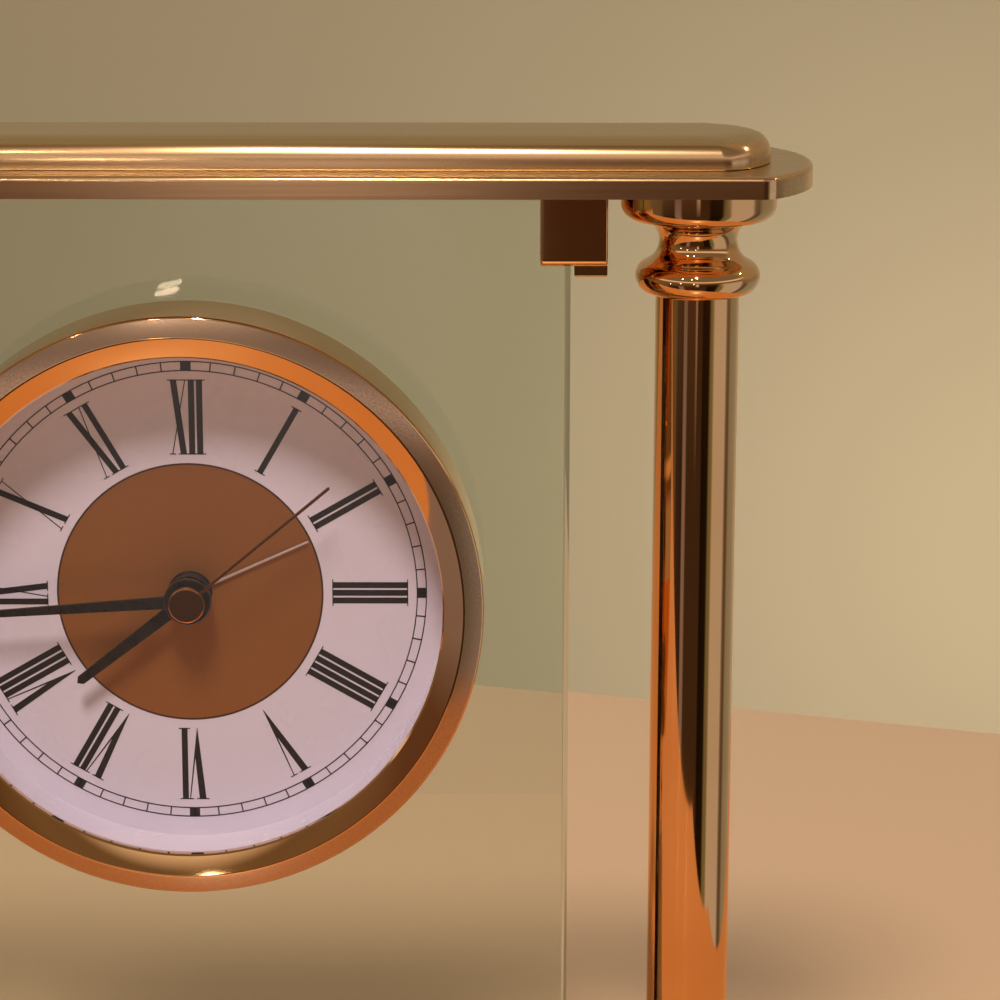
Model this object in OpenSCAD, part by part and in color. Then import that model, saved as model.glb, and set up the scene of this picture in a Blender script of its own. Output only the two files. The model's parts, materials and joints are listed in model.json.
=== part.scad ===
// Glass mantel clock: two stepped brass plates, two turned columns, a glass panel
// held by cast clips, and a round quartz insert set in the glass.
// Millimetres. Z is up, the clock faces -Y, and the origin is under the middle of the felt.

/* [Plates] */
// Distance from a column's axis to the end of the plates that it joins
plate_reach = 17; // [15:0.1:20]
// Depth of those plates, front to back
plate_d = 33; // [31:0.5:37]
// Thickness of those plates
plate_t = 3.3; // [2.8:0.1:4]
// Radius of a plate's bowed end beyond half its depth
plate_bow_extra = 5.5; // [3:0.5:10]
// Radius where a bowed end meets the long edge
plate_corner = 3; // [2:0.5:5]
// Small rounding along the plates' edges
edge_round = 0.5; // [0.3:0.1:0.8]
// Thickness of the narrow cap on top
cap_t = 4.7; // [4.5:0.1:6]
// Step from the plate's end to the cap's end
cap_step_end = 6.3; // [5:0.1:8]
// Step from the plate's long edge to the cap's long edge
cap_step_front = 5.7; // [4.5:0.1:6.5]
// Radius of the cap's bowed end beyond half its depth
cap_bow_extra = 1.2; // [1:0.1:4]
// Radius where the cap's bowed end meets its long edge
cap_corner = 4; // [3.8:0.1:5]
// Rounding along the upper edge of the cap and the plinth
cap_round = 3.5; // [2.5:0.1:3.6]
// Thickness of the plinth under the base plate
plinth_t = 6; // [5.5:0.1:8]
// How far the plinth stands out round the base plate
plinth_step = 6.3; // [5:0.1:9]
// Thickness of the felt sheet
felt_t = 1; // [0.6:0.1:2]
// Margin from the plinth's edge to the felt
felt_inset = 2; // [1:0.5:4]
// Distance from the middle to the outer plate screws
screw_x_outer = 42; // [38:1:46]
// Distance from the middle to the inner plate screws
screw_x_inner = 15; // [12:1:20]

/* [Columns] */
// Height of the opening between the plates
column_gap = 160; // [150:1:175]
// Distance from the glass's edge to a column's axis
column_side = 19.2; // [18.5:0.1:20.5]
// Outer radius of the column tube
tube_r = 6.35; // [6:0.05:6.6]
// Wall of the column tube
tube_wall = 0.8; // [0.6:0.1:1.2]
// Radius of a capital's flange
flange_r = 11.8; // [11.5:0.1:12.5]
// Height of the flange's straight side
flange_h = 3.3; // [2.5:0.1:4]
// Rounding of the flange's free edge
flange_round = 2.1; // [1.5:0.1:2.2]
// Radius of a capital at its neck
neck_r = 5.93; // [5.6:0.01:6.2]
// Radius of the cove round the neck
cove_r = 3.4; // [3.2:0.1:3.5]
// Radius of the bead's half round section
bead_r = 2.55; // [2.3:0.05:2.7]
// Radius of the circle that the bead's section runs round
bead_ring_r = 6.9; // [6.7:0.1:7.1]
// Length of a capital's spigot inside the tube
spigot_l = 6; // [4:0.5:10]
// Radius of the tie rod
rod_r = 2; // [1.6:0.1:2.2]
// Height of a tie rod nut
nut_h = 2.2; // [1.8:0.1:2.4]
// Width of a tie rod nut across its flats
nut_af = 7; // [6.5:0.1:7.5]

/* [Glass] */
// Width of the glass panel
glass_w = 116; // [113:0.5:117]
// Thickness of the glass panel
glass_t = 5; // [4:0.5:6]
// Width of the polished chamfer round the glass
glass_chamfer = 0.85; // [0.5:0.05:1.2]
// Overlap of a clip on the glass
clip_overlap = 4.6; // [4:0.1:6]
// Width of a clip's block beside the glass
clip_side_w = 4.7; // [4.4:0.1:5]
// Thickness of a clip's flange
clip_t = 1.8; // [1.4:0.1:2.4]
// Reach of a clip's flange from its plate
clip_h = 12; // [10:0.5:14]
// Reach of a clip's side block past its flange
clip_drop = 1.6; // [1:0.1:3]
// Thickness of a clip over the edge of the glass
clip_roof = 1.2; // [1:0.1:2]
// Thickness of the soft liner between a clip and the glass
liner_t = 0.4; // [0.3:0.1:0.6]

/* [Insert] */
// Depth of the dial's centre below the top plate
dial_drop = 62.65; // [60:0.05:70]
// Outer radius of the bezel
bezel_r = 45; // [44.6:0.1:46]
// Width from the bezel's rim to its ridge
crest_in = 3; // [2.5:0.1:3.5]
// Width from the bezel's rim to its inner lip
lip_in = 6.2; // [6:0.1:6.6]
// Height of the ridge in front of the dial
crest_h = 11.7; // [11.4:0.1:12.5]
// Height of the inner lip's front edge in front of the dial
lip_h = 10.7; // [10.4:0.1:11]
// Height of the outer rim's edge in front of the dial
rim_h = 10.5; // [10:0.1:11]
// Height of the bezel's inner seat, where the crystal rests, in front of the dial
seat_h = 9.7; // [9.5:0.1:10]
// Wall of the bezel's outer skirt
skirt_wall = 1; // [0.8:0.1:1.3]
// Thickness of the crystal
crystal_t = 1.5; // [1.2:0.1:1.6]
// Thickness of the dial
dial_t = 0.5; // [0.4:0.1:0.8]
// Thickness of the case's front web
web_t = 1.2; // [1:0.1:1.6]
// Thickness of the gasket's lip in front of the glass
gasket_t = 0.5; // [0.4:0.1:0.8]
// Width from the bezel's rim to the case's wall behind the web
case_in = 4.8; // [4.4:0.1:5.2]
// Wall of the case
case_wall = 1.4; // [1:0.1:1.8]
// Reach of the case behind the glass
case_back = 6; // [5:0.5:8]
// Reach of the clamp ring past the case's wall, behind the glass
clamp_lap = 2.9; // [2.4:0.1:3.4]
// Thickness of the clamp ring
clamp_t = 3.5; // [3:0.5:4.5]

/* [Movement] */
// Side of the square movement
movement_w = 56; // [54:0.5:56]
// Depth of the movement
movement_t = 16; // [15.5:0.1:17]
// Wall of the movement's housing
movement_wall = 1.2; // [1:0.1:1.2]
// Depth of the front half of the movement's housing
base_t = 7; // [6.5:0.1:7.5]
// Radius of the battery
battery_r = 7.1; // [7:0.05:7.2]
// Length of the battery's body
battery_l = 49; // [48:0.5:49.5]
// Distance from the centre arbor to the motion arbor
motion_x = 12; // [12:0.1:12.3]
// Distance from the centre arbor to the third arbor
third_x = 11.52; // [11.4:0.02:11.6]
// Distance from the centre arbor to the intermediate arbor
step_x = 11.5; // [11.3:0.1:11.8]
// Distance from the intermediate arbor to the rotor's arbor
rotor_x = 7.2; // [7:0.1:7.4]
// Radius of the rotor's magnet
magnet_r = 2.5; // [2.2:0.1:2.6]
// Radius of the setting knob
knob_r = 7; // [6:0.5:8]
// Height of the setting knob
knob_h = 4; // [3:0.5:5]
// Radial clearance of a pivot or a pipe that turns
run_gap = 0.05; // [0.03:0.01:0.08]

/* [Hands] */
// Direction of the hour hand, clockwise from twelve
hour_angle = 232; // [0:1:360]
// Direction of the minute hand, clockwise from twelve
minute_angle = 266; // [0:1:360]
// Direction of the second hand, clockwise from twelve
second_angle = 49.6; // [0:0.1:360]
// Length of the hour hand from its axis
hour_l = 22; // [18:0.5:26]
// Length of the minute hand from its axis
minute_l = 32.5; // [28:0.5:35]
// Length of the second hand from its axis
second_l = 28.5; // [26:0.5:35]
// Width of the hour and minute hands at the hub
hand_w = 2.1; // [1.8:0.1:2.6]
// Thickness of a hand's blade
blade_t = 0.4; // [0.3:0.1:0.5]
// Radius of the minute hand's round boss
boss_r = 3.6; // [3.4:0.1:4]
// Radius of the second hand's round cap
hub_cap_r = 2.8; // [2.4:0.1:3]

/* [Hidden] */
$fn = 96;
brass = "#c9974a";
satin_brass = "#b08a55";
steel = "#b9bcc0";
black_plastic = "#26262a";
white_plastic = "#efe9e2";
eps = 0.01;

// Places and lengths that follow from the glass
column_x = glass_w / 2 + column_side;
plate_l = 2 * (column_x + plate_reach);

// Heights of the stack of plates
plinth_z = felt_t;
base_z = plinth_z + plinth_t;
floor_z = base_z + plate_t;
ceiling_z = floor_z + column_gap;
cap_z = ceiling_z + plate_t;
dial_z = ceiling_z - dial_drop;

// Distances in front of the middle of the glass, for the insert's stack
glass_f = glass_t / 2;
web_f = glass_f + gasket_t;
dial_back_f = web_f + web_t;
dial_f = dial_back_f + dial_t;
seat_f = dial_f + seat_h;
surround_f = seat_f - crystal_t;
skirt_r = bezel_r - skirt_wall;
crest_r = bezel_r - crest_in;
lip_r = bezel_r - lip_in;
case_r = bezel_r - case_in;
clamp_r = case_r + clamp_lap;
fit_gap = 0.1;
through = 40;

// Screw and rod holes
screw_r = 1.25;
screw_head_r = 2.4;
screw_head_h = 1.4;
clip_head_sink = 2.5;
clip_screw_l = 9;
glass_gap = 0.5;
clip_screw_x = glass_w / 2 + glass_gap + clip_side_w / 2;
hole_gap = 0.1;
rod_gap = 0.2;
washer_t = 0.5;
pocket_r = nut_af / 2 / cos(30) + 0.9;
pocket_h = washer_t + nut_h + 0.6;

function arc(centre, r, from, to, steps) =
    [for (i = [0:steps]) centre + r * [cos(from + (to - from) * i / steps),
                                       sin(from + (to - from) * i / steps)]];

function tail(points) = [for (i = [1:len(points) - 1]) points[i]];

// Outline of a plate: straight long edges, bowed ends, small corner arcs between them
function plate_end(l, d, bow, corner) =
    let (cy = d / 2 - corner,
         run = sqrt(pow(bow - corner, 2) - cy * cy),
         cx = l / 2 - bow + run,
         turn = atan2(cy, run))
    concat(arc([cx, -cy], corner, -90, -turn, 5),
           tail(arc([l / 2 - bow, 0], bow, -turn, turn, 18)),
           tail(arc([cx, cy], corner, turn, 90, 5)));

function plate_points(l, d, bow, corner) =
    let (e = plate_end(l, d, bow, corner), last = len(e) - 1)
    concat(e, [for (i = [last:-1:0]) [-e[i][0], e[i][1]]]);

// Margin and height of each level of a slab with rounded edges, from its foot to its top
function slab_levels(t, upper, lower) =
    let (upper_turn = upper > 1 ? 10 : 30)
    concat([for (a = [90:-30:0]) [lower * (1 - cos(a)), lower * (1 - sin(a))]],
           [for (a = [0:upper_turn:90]) [upper * (1 - cos(a)), t - upper + upper * sin(a)]]);

// A slab with its upper and lower edges rounded; size is [length, depth, bow, corner].
// Each level is a true offset of the same outline, so every face between levels is flat.
module slab(size, t, upper, lower) {
    levels = slab_levels(t, upper, lower);
    rings = [for (v = levels) plate_points(size[0] - 2 * v[0], size[1] - 2 * v[0],
                                           size[2] - v[0], size[3] - v[0])];
    n = len(rings[0]);
    top = len(levels) - 1;
    polyhedron(
        points = [for (k = [0:top]) for (q = rings[k]) [q[0], q[1], levels[k][1]]],
        faces = concat(
            [[for (i = [0:n - 1]) i], [for (i = [n - 1:-1:0]) top * n + i]],
            [for (k = [0:top - 1]) for (i = [0:n - 1])
                [k * n + i, (k + 1) * n + i, (k + 1) * n + (i + 1) % n, k * n + (i + 1) % n]]));
}

plate_size = [plate_l, plate_d, plate_d / 2 + plate_bow_extra, plate_corner];
cap_d = plate_d - 2 * cap_step_front;
cap_size = [plate_l - 2 * cap_step_end, cap_d, cap_d / 2 + cap_bow_extra, cap_corner];
plinth_size = [plate_l + 2 * plinth_step, plate_d + 2 * plinth_step,
               plate_d / 2 + plate_bow_extra + plinth_step, plate_corner + plinth_step];
screw_places = [-screw_x_outer, -screw_x_inner, screw_x_inner, screw_x_outer];

// A round hole from z0 to z1 at a place in plan
module hole(x, y, z0, z1, r) {
    translate([x, y, z0]) cylinder(h = z1 - z0, r = r);
}

// A countersunk screw standing on its head's flat top, point upwards
module countersunk_screw(l) {
    cylinder(h = screw_head_h, r1 = screw_head_r, r2 = screw_r);
    cylinder(h = l, r = screw_r);
}

// The hole that such a screw sits in, open below by the margin
module countersink(l) {
    translate([0, 0, -eps])
        cylinder(h = screw_head_h + eps, r1 = screw_head_r + hole_gap, r2 = screw_r + hole_gap);
    translate([0, 0, -eps]) cylinder(h = l + eps, r = screw_r + hole_gap);
}

module hex_nut(h) {
    difference() {
        cylinder(h = h, r = nut_af / 2 / cos(30), $fn = 6);
        translate([0, 0, -1]) cylinder(h = h + 2, r = rod_r + eps);
    }
}

module washer() {
    difference() {
        cylinder(h = washer_t, r = nut_af / 2 / cos(30) + 0.5);
        translate([0, 0, -1]) cylinder(h = washer_t + 2, r = rod_r + rod_gap);
    }
}

// Base
plinth_screw_l = plinth_t + plate_t - 1;

module felt_pad() color("#23382b") {
    linear_extrude(felt_t)
        polygon(plate_points(plinth_size[0] - 2 * felt_inset, plinth_size[1] - 2 * felt_inset,
                             plinth_size[2] - felt_inset, plinth_size[3] - felt_inset));
}

module base_plinth() color(satin_brass) {
    difference() {
        translate([0, 0, plinth_z]) slab(plinth_size, plinth_t, cap_round, edge_round);
        for (x = screw_places) translate([x, 0, plinth_z]) countersink(plinth_t + 1);
        for (side = [-1, 1]) {
            hole(side * column_x, 0, plinth_z - 1, base_z + 1, rod_r + rod_gap);
            hole(side * column_x, 0, plinth_z - 1, plinth_z + pocket_h, pocket_r);
            hole(side * clip_screw_x, 0, plinth_z - 1, base_z - clip_head_sink,
                 screw_head_r + hole_gap);
            translate([side * clip_screw_x, 0, base_z - clip_head_sink])
                countersink(clip_head_sink + 1);
        }
    }
}

module base_plate() color(brass) {
    difference() {
        translate([0, 0, base_z]) slab(plate_size, plate_t, edge_round, edge_round);
        for (x = screw_places)
            hole(x, 0, base_z - 1, plinth_z + plinth_screw_l + 0.3, screw_r + hole_gap);
        for (side = [-1, 1]) {
            hole(side * column_x, 0, base_z - 1, floor_z + 1, rod_r + rod_gap);
            hole(side * clip_screw_x, 0, base_z - 1, floor_z + 1, screw_r + hole_gap);
        }
    }
}

module plinth_screws() color(steel) {
    for (x = screw_places) translate([x, 0, plinth_z]) countersunk_screw(plinth_screw_l);
}

// Top
cap_screw_l = plate_t + cap_t - 1.5;

module top_plate() color(brass) {
    difference() {
        translate([0, 0, ceiling_z]) slab(plate_size, plate_t, edge_round, edge_round);
        for (x = screw_places) translate([x, 0, ceiling_z]) countersink(plate_t + 1);
        for (side = [-1, 1]) {
            hole(side * column_x, 0, ceiling_z - 1, cap_z + 1, rod_r + rod_gap);
            translate([side * clip_screw_x, 0, cap_z]) mirror([0, 0, 1]) countersink(plate_t + 1);
        }
    }
}

module top_cap() color(satin_brass) {
    difference() {
        translate([0, 0, cap_z]) slab(cap_size, cap_t, cap_round, edge_round / 2);
        for (x = screw_places)
            hole(x, 0, cap_z - 1, ceiling_z + cap_screw_l + 0.3, screw_r + hole_gap);
        for (side = [-1, 1]) hole(side * column_x, 0, cap_z - 1, cap_z + pocket_h, pocket_r);
    }
}

module cap_screws() color(steel) {
    for (x = screw_places) translate([x, 0, ceiling_z]) countersunk_screw(cap_screw_l);
}

// Columns
spigot_r = tube_r - tube_wall - 0.05;
cove_ring_r = neck_r + cove_r;
cove_z = bead_r + sqrt(pow(cove_r + bead_r, 2) - pow(cove_ring_r - bead_ring_r, 2));
flange_z = cove_z + cove_r;
capital_h = flange_z + flange_round + flange_h;
blend_angle = atan2(cove_z - bead_r, cove_ring_r - bead_ring_r);

// A capital standing on its bead, flange upwards, spigot hanging below
module capital() {
    rod_hole_r = rod_r + rod_gap;
    rotate_extrude() polygon(concat(
        [[rod_hole_r, -spigot_l], [spigot_r, -spigot_l], [spigot_r, 0]],
        arc([bead_ring_r, bead_r], bead_r, -90, blend_angle, 14),
        tail(arc([cove_ring_r, cove_z], cove_r, blend_angle + 180, 90, 14)),
        arc([flange_r - flange_round, flange_z + flange_round], flange_round, -90, 0, 7),
        [[flange_r, capital_h], [rod_hole_r, capital_h]]));
}

module upper_capital(side) color(brass) {
    translate([side * column_x, 0, ceiling_z - capital_h]) capital();
}

module lower_capital(side) color(brass) {
    translate([side * column_x, 0, floor_z + capital_h]) mirror([0, 0, 1]) capital();
}

module column(side) color(brass) {
    translate([side * column_x, 0, floor_z + capital_h]) difference() {
        cylinder(h = column_gap - 2 * capital_h, r = tube_r);
        translate([0, 0, -1]) cylinder(h = column_gap - 2 * capital_h + 2, r = tube_r - tube_wall);
    }
}

rod_foot_z = plinth_z + pocket_h - washer_t - nut_h - 0.3;
rod_head_z = cap_z + washer_t + nut_h + 0.3;

module tie_rod(side) color(steel) {
    translate([side * column_x, 0, rod_foot_z]) cylinder(h = rod_head_z - rod_foot_z, r = rod_r);
}

module lower_nuts() color(steel) {
    for (side = [-1, 1]) translate([side * column_x, 0, plinth_z + pocket_h - washer_t]) {
        washer();
        translate([0, 0, -nut_h]) hex_nut(nut_h);
    }
}

module upper_nuts() color(steel) {
    for (side = [-1, 1]) translate([side * column_x, 0, cap_z]) {
        washer();
        translate([0, 0, washer_t]) hex_nut(nut_h);
    }
}

// Glass and its clips
glass_edge_gap = clip_roof + liner_t;
glass_z0 = floor_z + glass_edge_gap;
glass_z1 = ceiling_z - glass_edge_gap;
hole_r = case_r + 1;

// Outline of a rectangle with its corners cut off at 45 degrees
function cut_corners(w, h, cut) =
    [[-w / 2 + cut, 0], [w / 2 - cut, 0], [w / 2, cut], [w / 2, h - cut],
     [w / 2 - cut, h], [-w / 2 + cut, h], [-w / 2, h - cut], [-w / 2, cut]];

module glass_panel() color("#cfe6d8", 0.35) {
    height = glass_z1 - glass_z0;
    translate([0, 0, glass_z0]) difference() {
        intersection() {
            rotate([90, 0, 0]) translate([0, 0, -glass_t])
                linear_extrude(2 * glass_t) polygon(cut_corners(glass_w, height, glass_chamfer));
            linear_extrude(height) translate([0, -glass_t / 2])
                polygon(cut_corners(glass_w, glass_t, glass_chamfer));
            rotate([90, 0, 90]) translate([0, 0, -glass_w / 2])
                linear_extrude(glass_w) polygon(cut_corners(glass_t, height, glass_chamfer));
        }
        translate([0, glass_t, dial_z - glass_z0]) rotate([90, 0, 0])
            cylinder(h = 2 * glass_t, r = hole_r);
    }
}

clip_half = glass_t / 2 + liner_t + clip_t;
clip_edge = 1.2;

// Side view of a clip's flanges, with the free corners rounded
function clip_side_points(h, round) = concat(
    [[clip_half, 0], [-clip_half, 0]],
    arc([-clip_half + round, -h + round], round, 180, 270, 5),
    arc([clip_half - round, -h + round], round, 270, 360, 5));

// A clip at the right-hand end, hanging from z = 0, with the glass on its left
module clip_body() {
    inner_x = glass_w / 2 - clip_overlap;
    side_x = glass_w / 2 + glass_gap;
    outer_x = side_x + clip_side_w;
    slot_half = glass_t / 2 + liner_t;
    difference() {
        union() {
            translate([inner_x, 0, 0]) rotate([90, 0, 90])
                linear_extrude(outer_x - inner_x) polygon(clip_side_points(clip_h, clip_edge));
            translate([side_x, 0, 0]) rotate([90, 0, 90]) linear_extrude(clip_side_w)
                square_below(2 * slot_half, clip_h + clip_drop);
        }
        translate([inner_x - 1, -slot_half, -clip_h - clip_drop - 1])
            cube([side_x - inner_x + 1, 2 * slot_half, clip_h + clip_drop + 1 - clip_roof]);
        translate([clip_screw_x, 0, -clip_screw_l])
            cylinder(h = clip_screw_l + 1, r = screw_r + hole_gap);
    }
}

// A square centred on X that hangs from the axis
module square_below(w, h) {
    translate([-w / 2, -h]) square([w, h]);
}

// Puts a right-hand upper clip's piece at any of the four corners
module at_corner(side, upper) {
    translate([0, 0, upper ? ceiling_z : floor_z])
        mirror([side < 0 ? 1 : 0, 0, 0]) mirror([0, 0, upper ? 0 : 1]) children();
}

module clip(side, upper) color(brass) {
    at_corner(side, upper) clip_body();
}

// A thin U over the edge of the glass inside a clip
module liner() {
    inner_x = glass_w / 2 - clip_overlap;
    length = clip_overlap - glass_chamfer;
    slot_half = glass_t / 2 + liner_t;
    translate([inner_x, 0, 0]) difference() {
        translate([0, -slot_half, -clip_h + clip_edge])
            cube([length, 2 * slot_half, clip_h - clip_edge - clip_roof]);
        translate([-1, -glass_t / 2, -clip_h])
            cube([length + 2, glass_t, clip_h - clip_roof - liner_t]);
    }
}

module clip_liners() color("#dfe3da", 0.6) {
    for (side = [-1, 1], upper = [true, false]) at_corner(side, upper) liner();
}

module clip_screws() color(steel) {
    for (side = [-1, 1]) {
        translate([side * clip_screw_x, 0, cap_z]) mirror([0, 0, 1])
            countersunk_screw(plate_t + clip_screw_l - 1);
        translate([side * clip_screw_x, 0, base_z - clip_head_sink])
            countersunk_screw(clip_head_sink + plate_t + clip_screw_l - 1);
    }
}

// Insert. Inside this frame x is right, y is up and z is towards the viewer,
// from the middle of the glass.
module at_dial() {
    translate([0, 0, dial_z]) rotate([90, 0, 0]) children();
}

// A ring from z0 to z1
module ring(outer, inner, z0, z1) {
    translate([0, 0, z0]) difference() {
        cylinder(h = z1 - z0, r = outer);
        translate([0, 0, -1]) cylinder(h = z1 - z0 + 2, r = inner);
    }
}

module gasket() color("#3a3a3a") at_dial() {
    inner = case_r + fit_gap / 2;
    rotate_extrude() polygon([[inner, -glass_f], [hole_r - fit_gap, -glass_f],
        [hole_r - fit_gap, glass_f], [skirt_r - 0.8, glass_f], [skirt_r - 0.8, web_f],
        [inner, web_f]]);
}

bushing_r = 3.2;
post_x = movement_w / 2 + 3.6;
post_r = 3;
ear_t = 1.6;
ear_f = web_f - base_t + ear_t + 0.2;
small_screw_r = 1;
small_head_r = 2;
small_head_h = 1.2;
small_grip = 4;

module case() color(white_plastic) at_dial() {
    difference() {
        union() {
            ring(skirt_r - fit_gap, bushing_r + fit_gap, web_f, dial_back_f);
            ring(case_r, case_r - case_wall, -glass_f - case_back, web_f + eps);
            for (side = [-1, 1])
                translate([side * post_x, 0, ear_f]) cylinder(h = web_f - ear_f + eps, r = post_r);
        }
        for (side = [-1, 1]) translate([side * post_x, 0, ear_f - 1])
            cylinder(h = web_f - ear_f + 0.4, r = small_screw_r + 0.05);
    }
}

grips = 24;
module clamp_ring() color(black_plastic) at_dial() {
    difference() {
        ring(clamp_r, case_r + fit_gap, -glass_f - clamp_t, -glass_f);
        for (i = [0:grips - 1]) rotate(i * 360 / grips)
            translate([clamp_r + 1, 0, -glass_f - clamp_t - 1]) cylinder(h = clamp_t, r = 2);
    }
}

module dial() color(white_plastic) at_dial() {
    ring(skirt_r - 0.5, bushing_r + 2 * fit_gap, dial_back_f, dial_f);
}

surround_r = lip_r + 0.5;
module dial_surround() color(white_plastic) at_dial() {
    rotate_extrude() polygon([[surround_r, dial_f], [surround_r + 1.2, dial_f],
        [surround_r + 1.2, surround_f - 1], [skirt_r - fit_gap, surround_f - 1],
        [skirt_r - fit_gap, surround_f], [lip_r + 0.2, surround_f]]);
}

module crystal() color("#e6f0f0", 0.3) at_dial() {
    translate([0, 0, surround_f]) cylinder(h = crystal_t, r = skirt_r - fit_gap);
}

module bezel() color(brass) at_dial() {
    rotate_extrude() polygon([[skirt_r, glass_f + 0.2], [bezel_r, glass_f + 0.2],
        [bezel_r, dial_f + rim_h], [crest_r, dial_f + crest_h], [lip_r, dial_f + lip_h],
        [lip_r, seat_f], [skirt_r, seat_f]]);
}

// Movement housing
movement_back_f = web_f - movement_t;
joint_f = web_f - base_t;
half_w = movement_w / 2;
corner_r = 4;
bay_wall = 0.8;
bay_floor_t = 0.9;
battery_y = -half_w + movement_wall + battery_r + 0.2;
battery_f = web_f - bay_floor_t - battery_r - 0.05;
bay_top_y = battery_y + battery_r + 0.2;
boss_y = [half_w - 3, bay_top_y + 3.4];
boss_x = half_w - 3;
cover_screw_r = 0.9;

// A square with rounded corners, centred
module rounded_square(w, r) {
    polygon(concat(arc([w / 2 - r, w / 2 - r], r, 0, 90, 6),
                   arc([-w / 2 + r, w / 2 - r], r, 90, 180, 6),
                   arc([-w / 2 + r, -w / 2 + r], r, 180, 270, 6),
                   arc([w / 2 - r, -w / 2 + r], r, 270, 360, 6)));
}

module prism(z0, z1) {
    translate([0, 0, z0]) linear_extrude(z1 - z0) children();
}

// The battery's share of the housing, in plan
module bay_outline() {
    inner_w = movement_w - 2 * movement_wall;
    intersection() {
        rounded_square(inner_w, corner_r - movement_wall);
        translate([-inner_w / 2, -inner_w / 2]) square([inner_w, bay_top_y + inner_w / 2]);
    }
}

// The wall between the battery and the wheels
module bay_divider(z0, z1) {
    translate([-half_w + movement_wall / 2, bay_top_y, z0])
        cube([movement_w - movement_wall, bay_wall, z1 - z0]);
}

module screw_bosses(z0, z1) {
    for (x = [-boss_x, boss_x], y = boss_y) translate([x, y, z0]) cylinder(h = z1 - z0, r = 2.2);
}

module screw_bores(z0, z1, r) {
    for (x = [-boss_x, boss_x], y = boss_y) translate([x, y, z0]) cylinder(h = z1 - z0, r = r);
}

// Places of the arbors, seen from the front
third_at = third_x * [cos(150), sin(150)];
step_at = step_x * [cos(20), sin(20)];
rotor_at = step_at + rotor_x * [cos(-30), sin(-30)];
motion_at = [0, motion_x];
train_at = [third_at, step_at, rotor_at];
pivot_r = 0.4;
pivot_l = 1;
arbor_r = 0.65;
front_inner_f = web_f - movement_wall;
back_inner_f = movement_back_f + movement_wall;
rear_boss_f = back_inner_f + 3.2;

// The stator's plate and its coil
stator_t = 0.8;
stator_f = rear_boss_f + 0.9;
stator_half = 5;
stator_h = 26;
stator_leg = 2;
stator_bar = 3;
core_w = 2.4;
coil_x = rotor_at[0] + stator_half - 0.5;
coil_r = 2.8;
coil_l = 11;
coil_lift = 1.5;
stator_posts = [[rotor_at[0] - stator_half + stator_leg / 2, rotor_at[1] + stator_h / 2],
                [coil_x, rotor_at[1] - stator_half / 2]];

// A bored boss that carries an arbor's pivot, mouth at z
module pivot_bore(at, z, r) {
    translate([at[0], at[1], z]) cylinder(h = pivot_l + 0.2, r = r);
}

module movement_base() color(black_plastic) at_dial() {
    hour_pipe_bore = hour_pipe_r + run_gap;
    difference() {
        union() {
            difference() {
                prism(joint_f, web_f) rounded_square(movement_w, corner_r);
                prism(joint_f - 1, front_inner_f)
                    rounded_square(movement_w - 2 * movement_wall, corner_r - movement_wall);
            }
            translate([0, 0, front_inner_f]) cylinder(h = bushing_f - front_inner_f, r = bushing_r);
            bay_divider(joint_f, front_inner_f + eps);
            screw_bosses(joint_f, front_inner_f + eps);
            for (side = [-1, 1]) ear(side);
        }
        prism(joint_f - 1, web_f - bay_floor_t) bay_outline();
        translate([0, 0, -through / 2]) cylinder(h = through, r = hour_pipe_bore);
        for (at = concat(train_at, [motion_at]))
            pivot_bore(at, front_inner_f - eps, pivot_r + run_gap, $fn = 32);
        screw_bores(joint_f - 1, joint_f + 3, cover_screw_r + 0.05);
        for (side = [-1, 1]) translate([side * post_x, 0, ear_f - ear_t - 1])
            cylinder(h = ear_t + 2, r = small_screw_r + hole_gap);
    }
}

// A lug at the housing's side, with its hole left to the housing
module ear(side) {
    translate([side * post_x, 0, ear_f - ear_t]) cylinder(h = ear_t, r = post_r);
    translate([side > 0 ? half_w - 0.5 : -post_x, -post_r, ear_f - ear_t])
        cube([post_x - half_w + 0.5, 2 * post_r, ear_t]);
}

module movement_cover() color(black_plastic) at_dial() {
    difference() {
        union() {
            difference() {
                prism(movement_back_f, joint_f) rounded_square(movement_w, corner_r);
                prism(back_inner_f, joint_f + 1)
                    rounded_square(movement_w - 2 * movement_wall, corner_r - movement_wall);
            }
            bay_divider(back_inner_f - eps, joint_f);
            screw_bosses(back_inner_f - eps, joint_f);
            for (at = concat(train_at, [[0, 0]]))
                translate([at[0], at[1], back_inner_f - eps])
                    cylinder(h = rear_boss_f - back_inner_f + eps, r = 1.8);
            for (at = stator_posts)
                translate([at[0], at[1], back_inner_f - eps])
                    cylinder(h = stator_f - back_inner_f + eps, r = 1.1);
        }
        prism(movement_back_f - 1, joint_f + 1) bay_outline();
        for (at = concat(train_at, [[0, 0]]))
            pivot_bore(at, rear_boss_f - pivot_l - 0.2 + eps, pivot_r + run_gap, $fn = 32);
        translate([motion_at[0], motion_at[1], movement_back_f - 1])
            cylinder(h = movement_wall + 2, r = knob_shaft_r + run_gap);
        screw_bores(movement_back_f - 1, joint_f + 1, cover_screw_r + 0.1);
    }
}

module movement_screws() color(steel) at_dial() {
    for (side = [-1, 1]) translate([side * post_x, 0, ear_f - ear_t]) {
        translate([0, 0, -small_head_h]) cylinder(h = small_head_h, r = small_head_r);
        cylinder(h = ear_t + small_grip, r = small_screw_r);
    }
}

module cover_screws() color(steel) at_dial() {
    for (x = [-boss_x, boss_x], y = boss_y) translate([x, y, movement_back_f]) {
        translate([0, 0, -0.8]) cylinder(h = 0.8, r = 1.7);
        cylinder(h = joint_f - movement_back_f + 2.5, r = cover_screw_r);
    }
}

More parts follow.
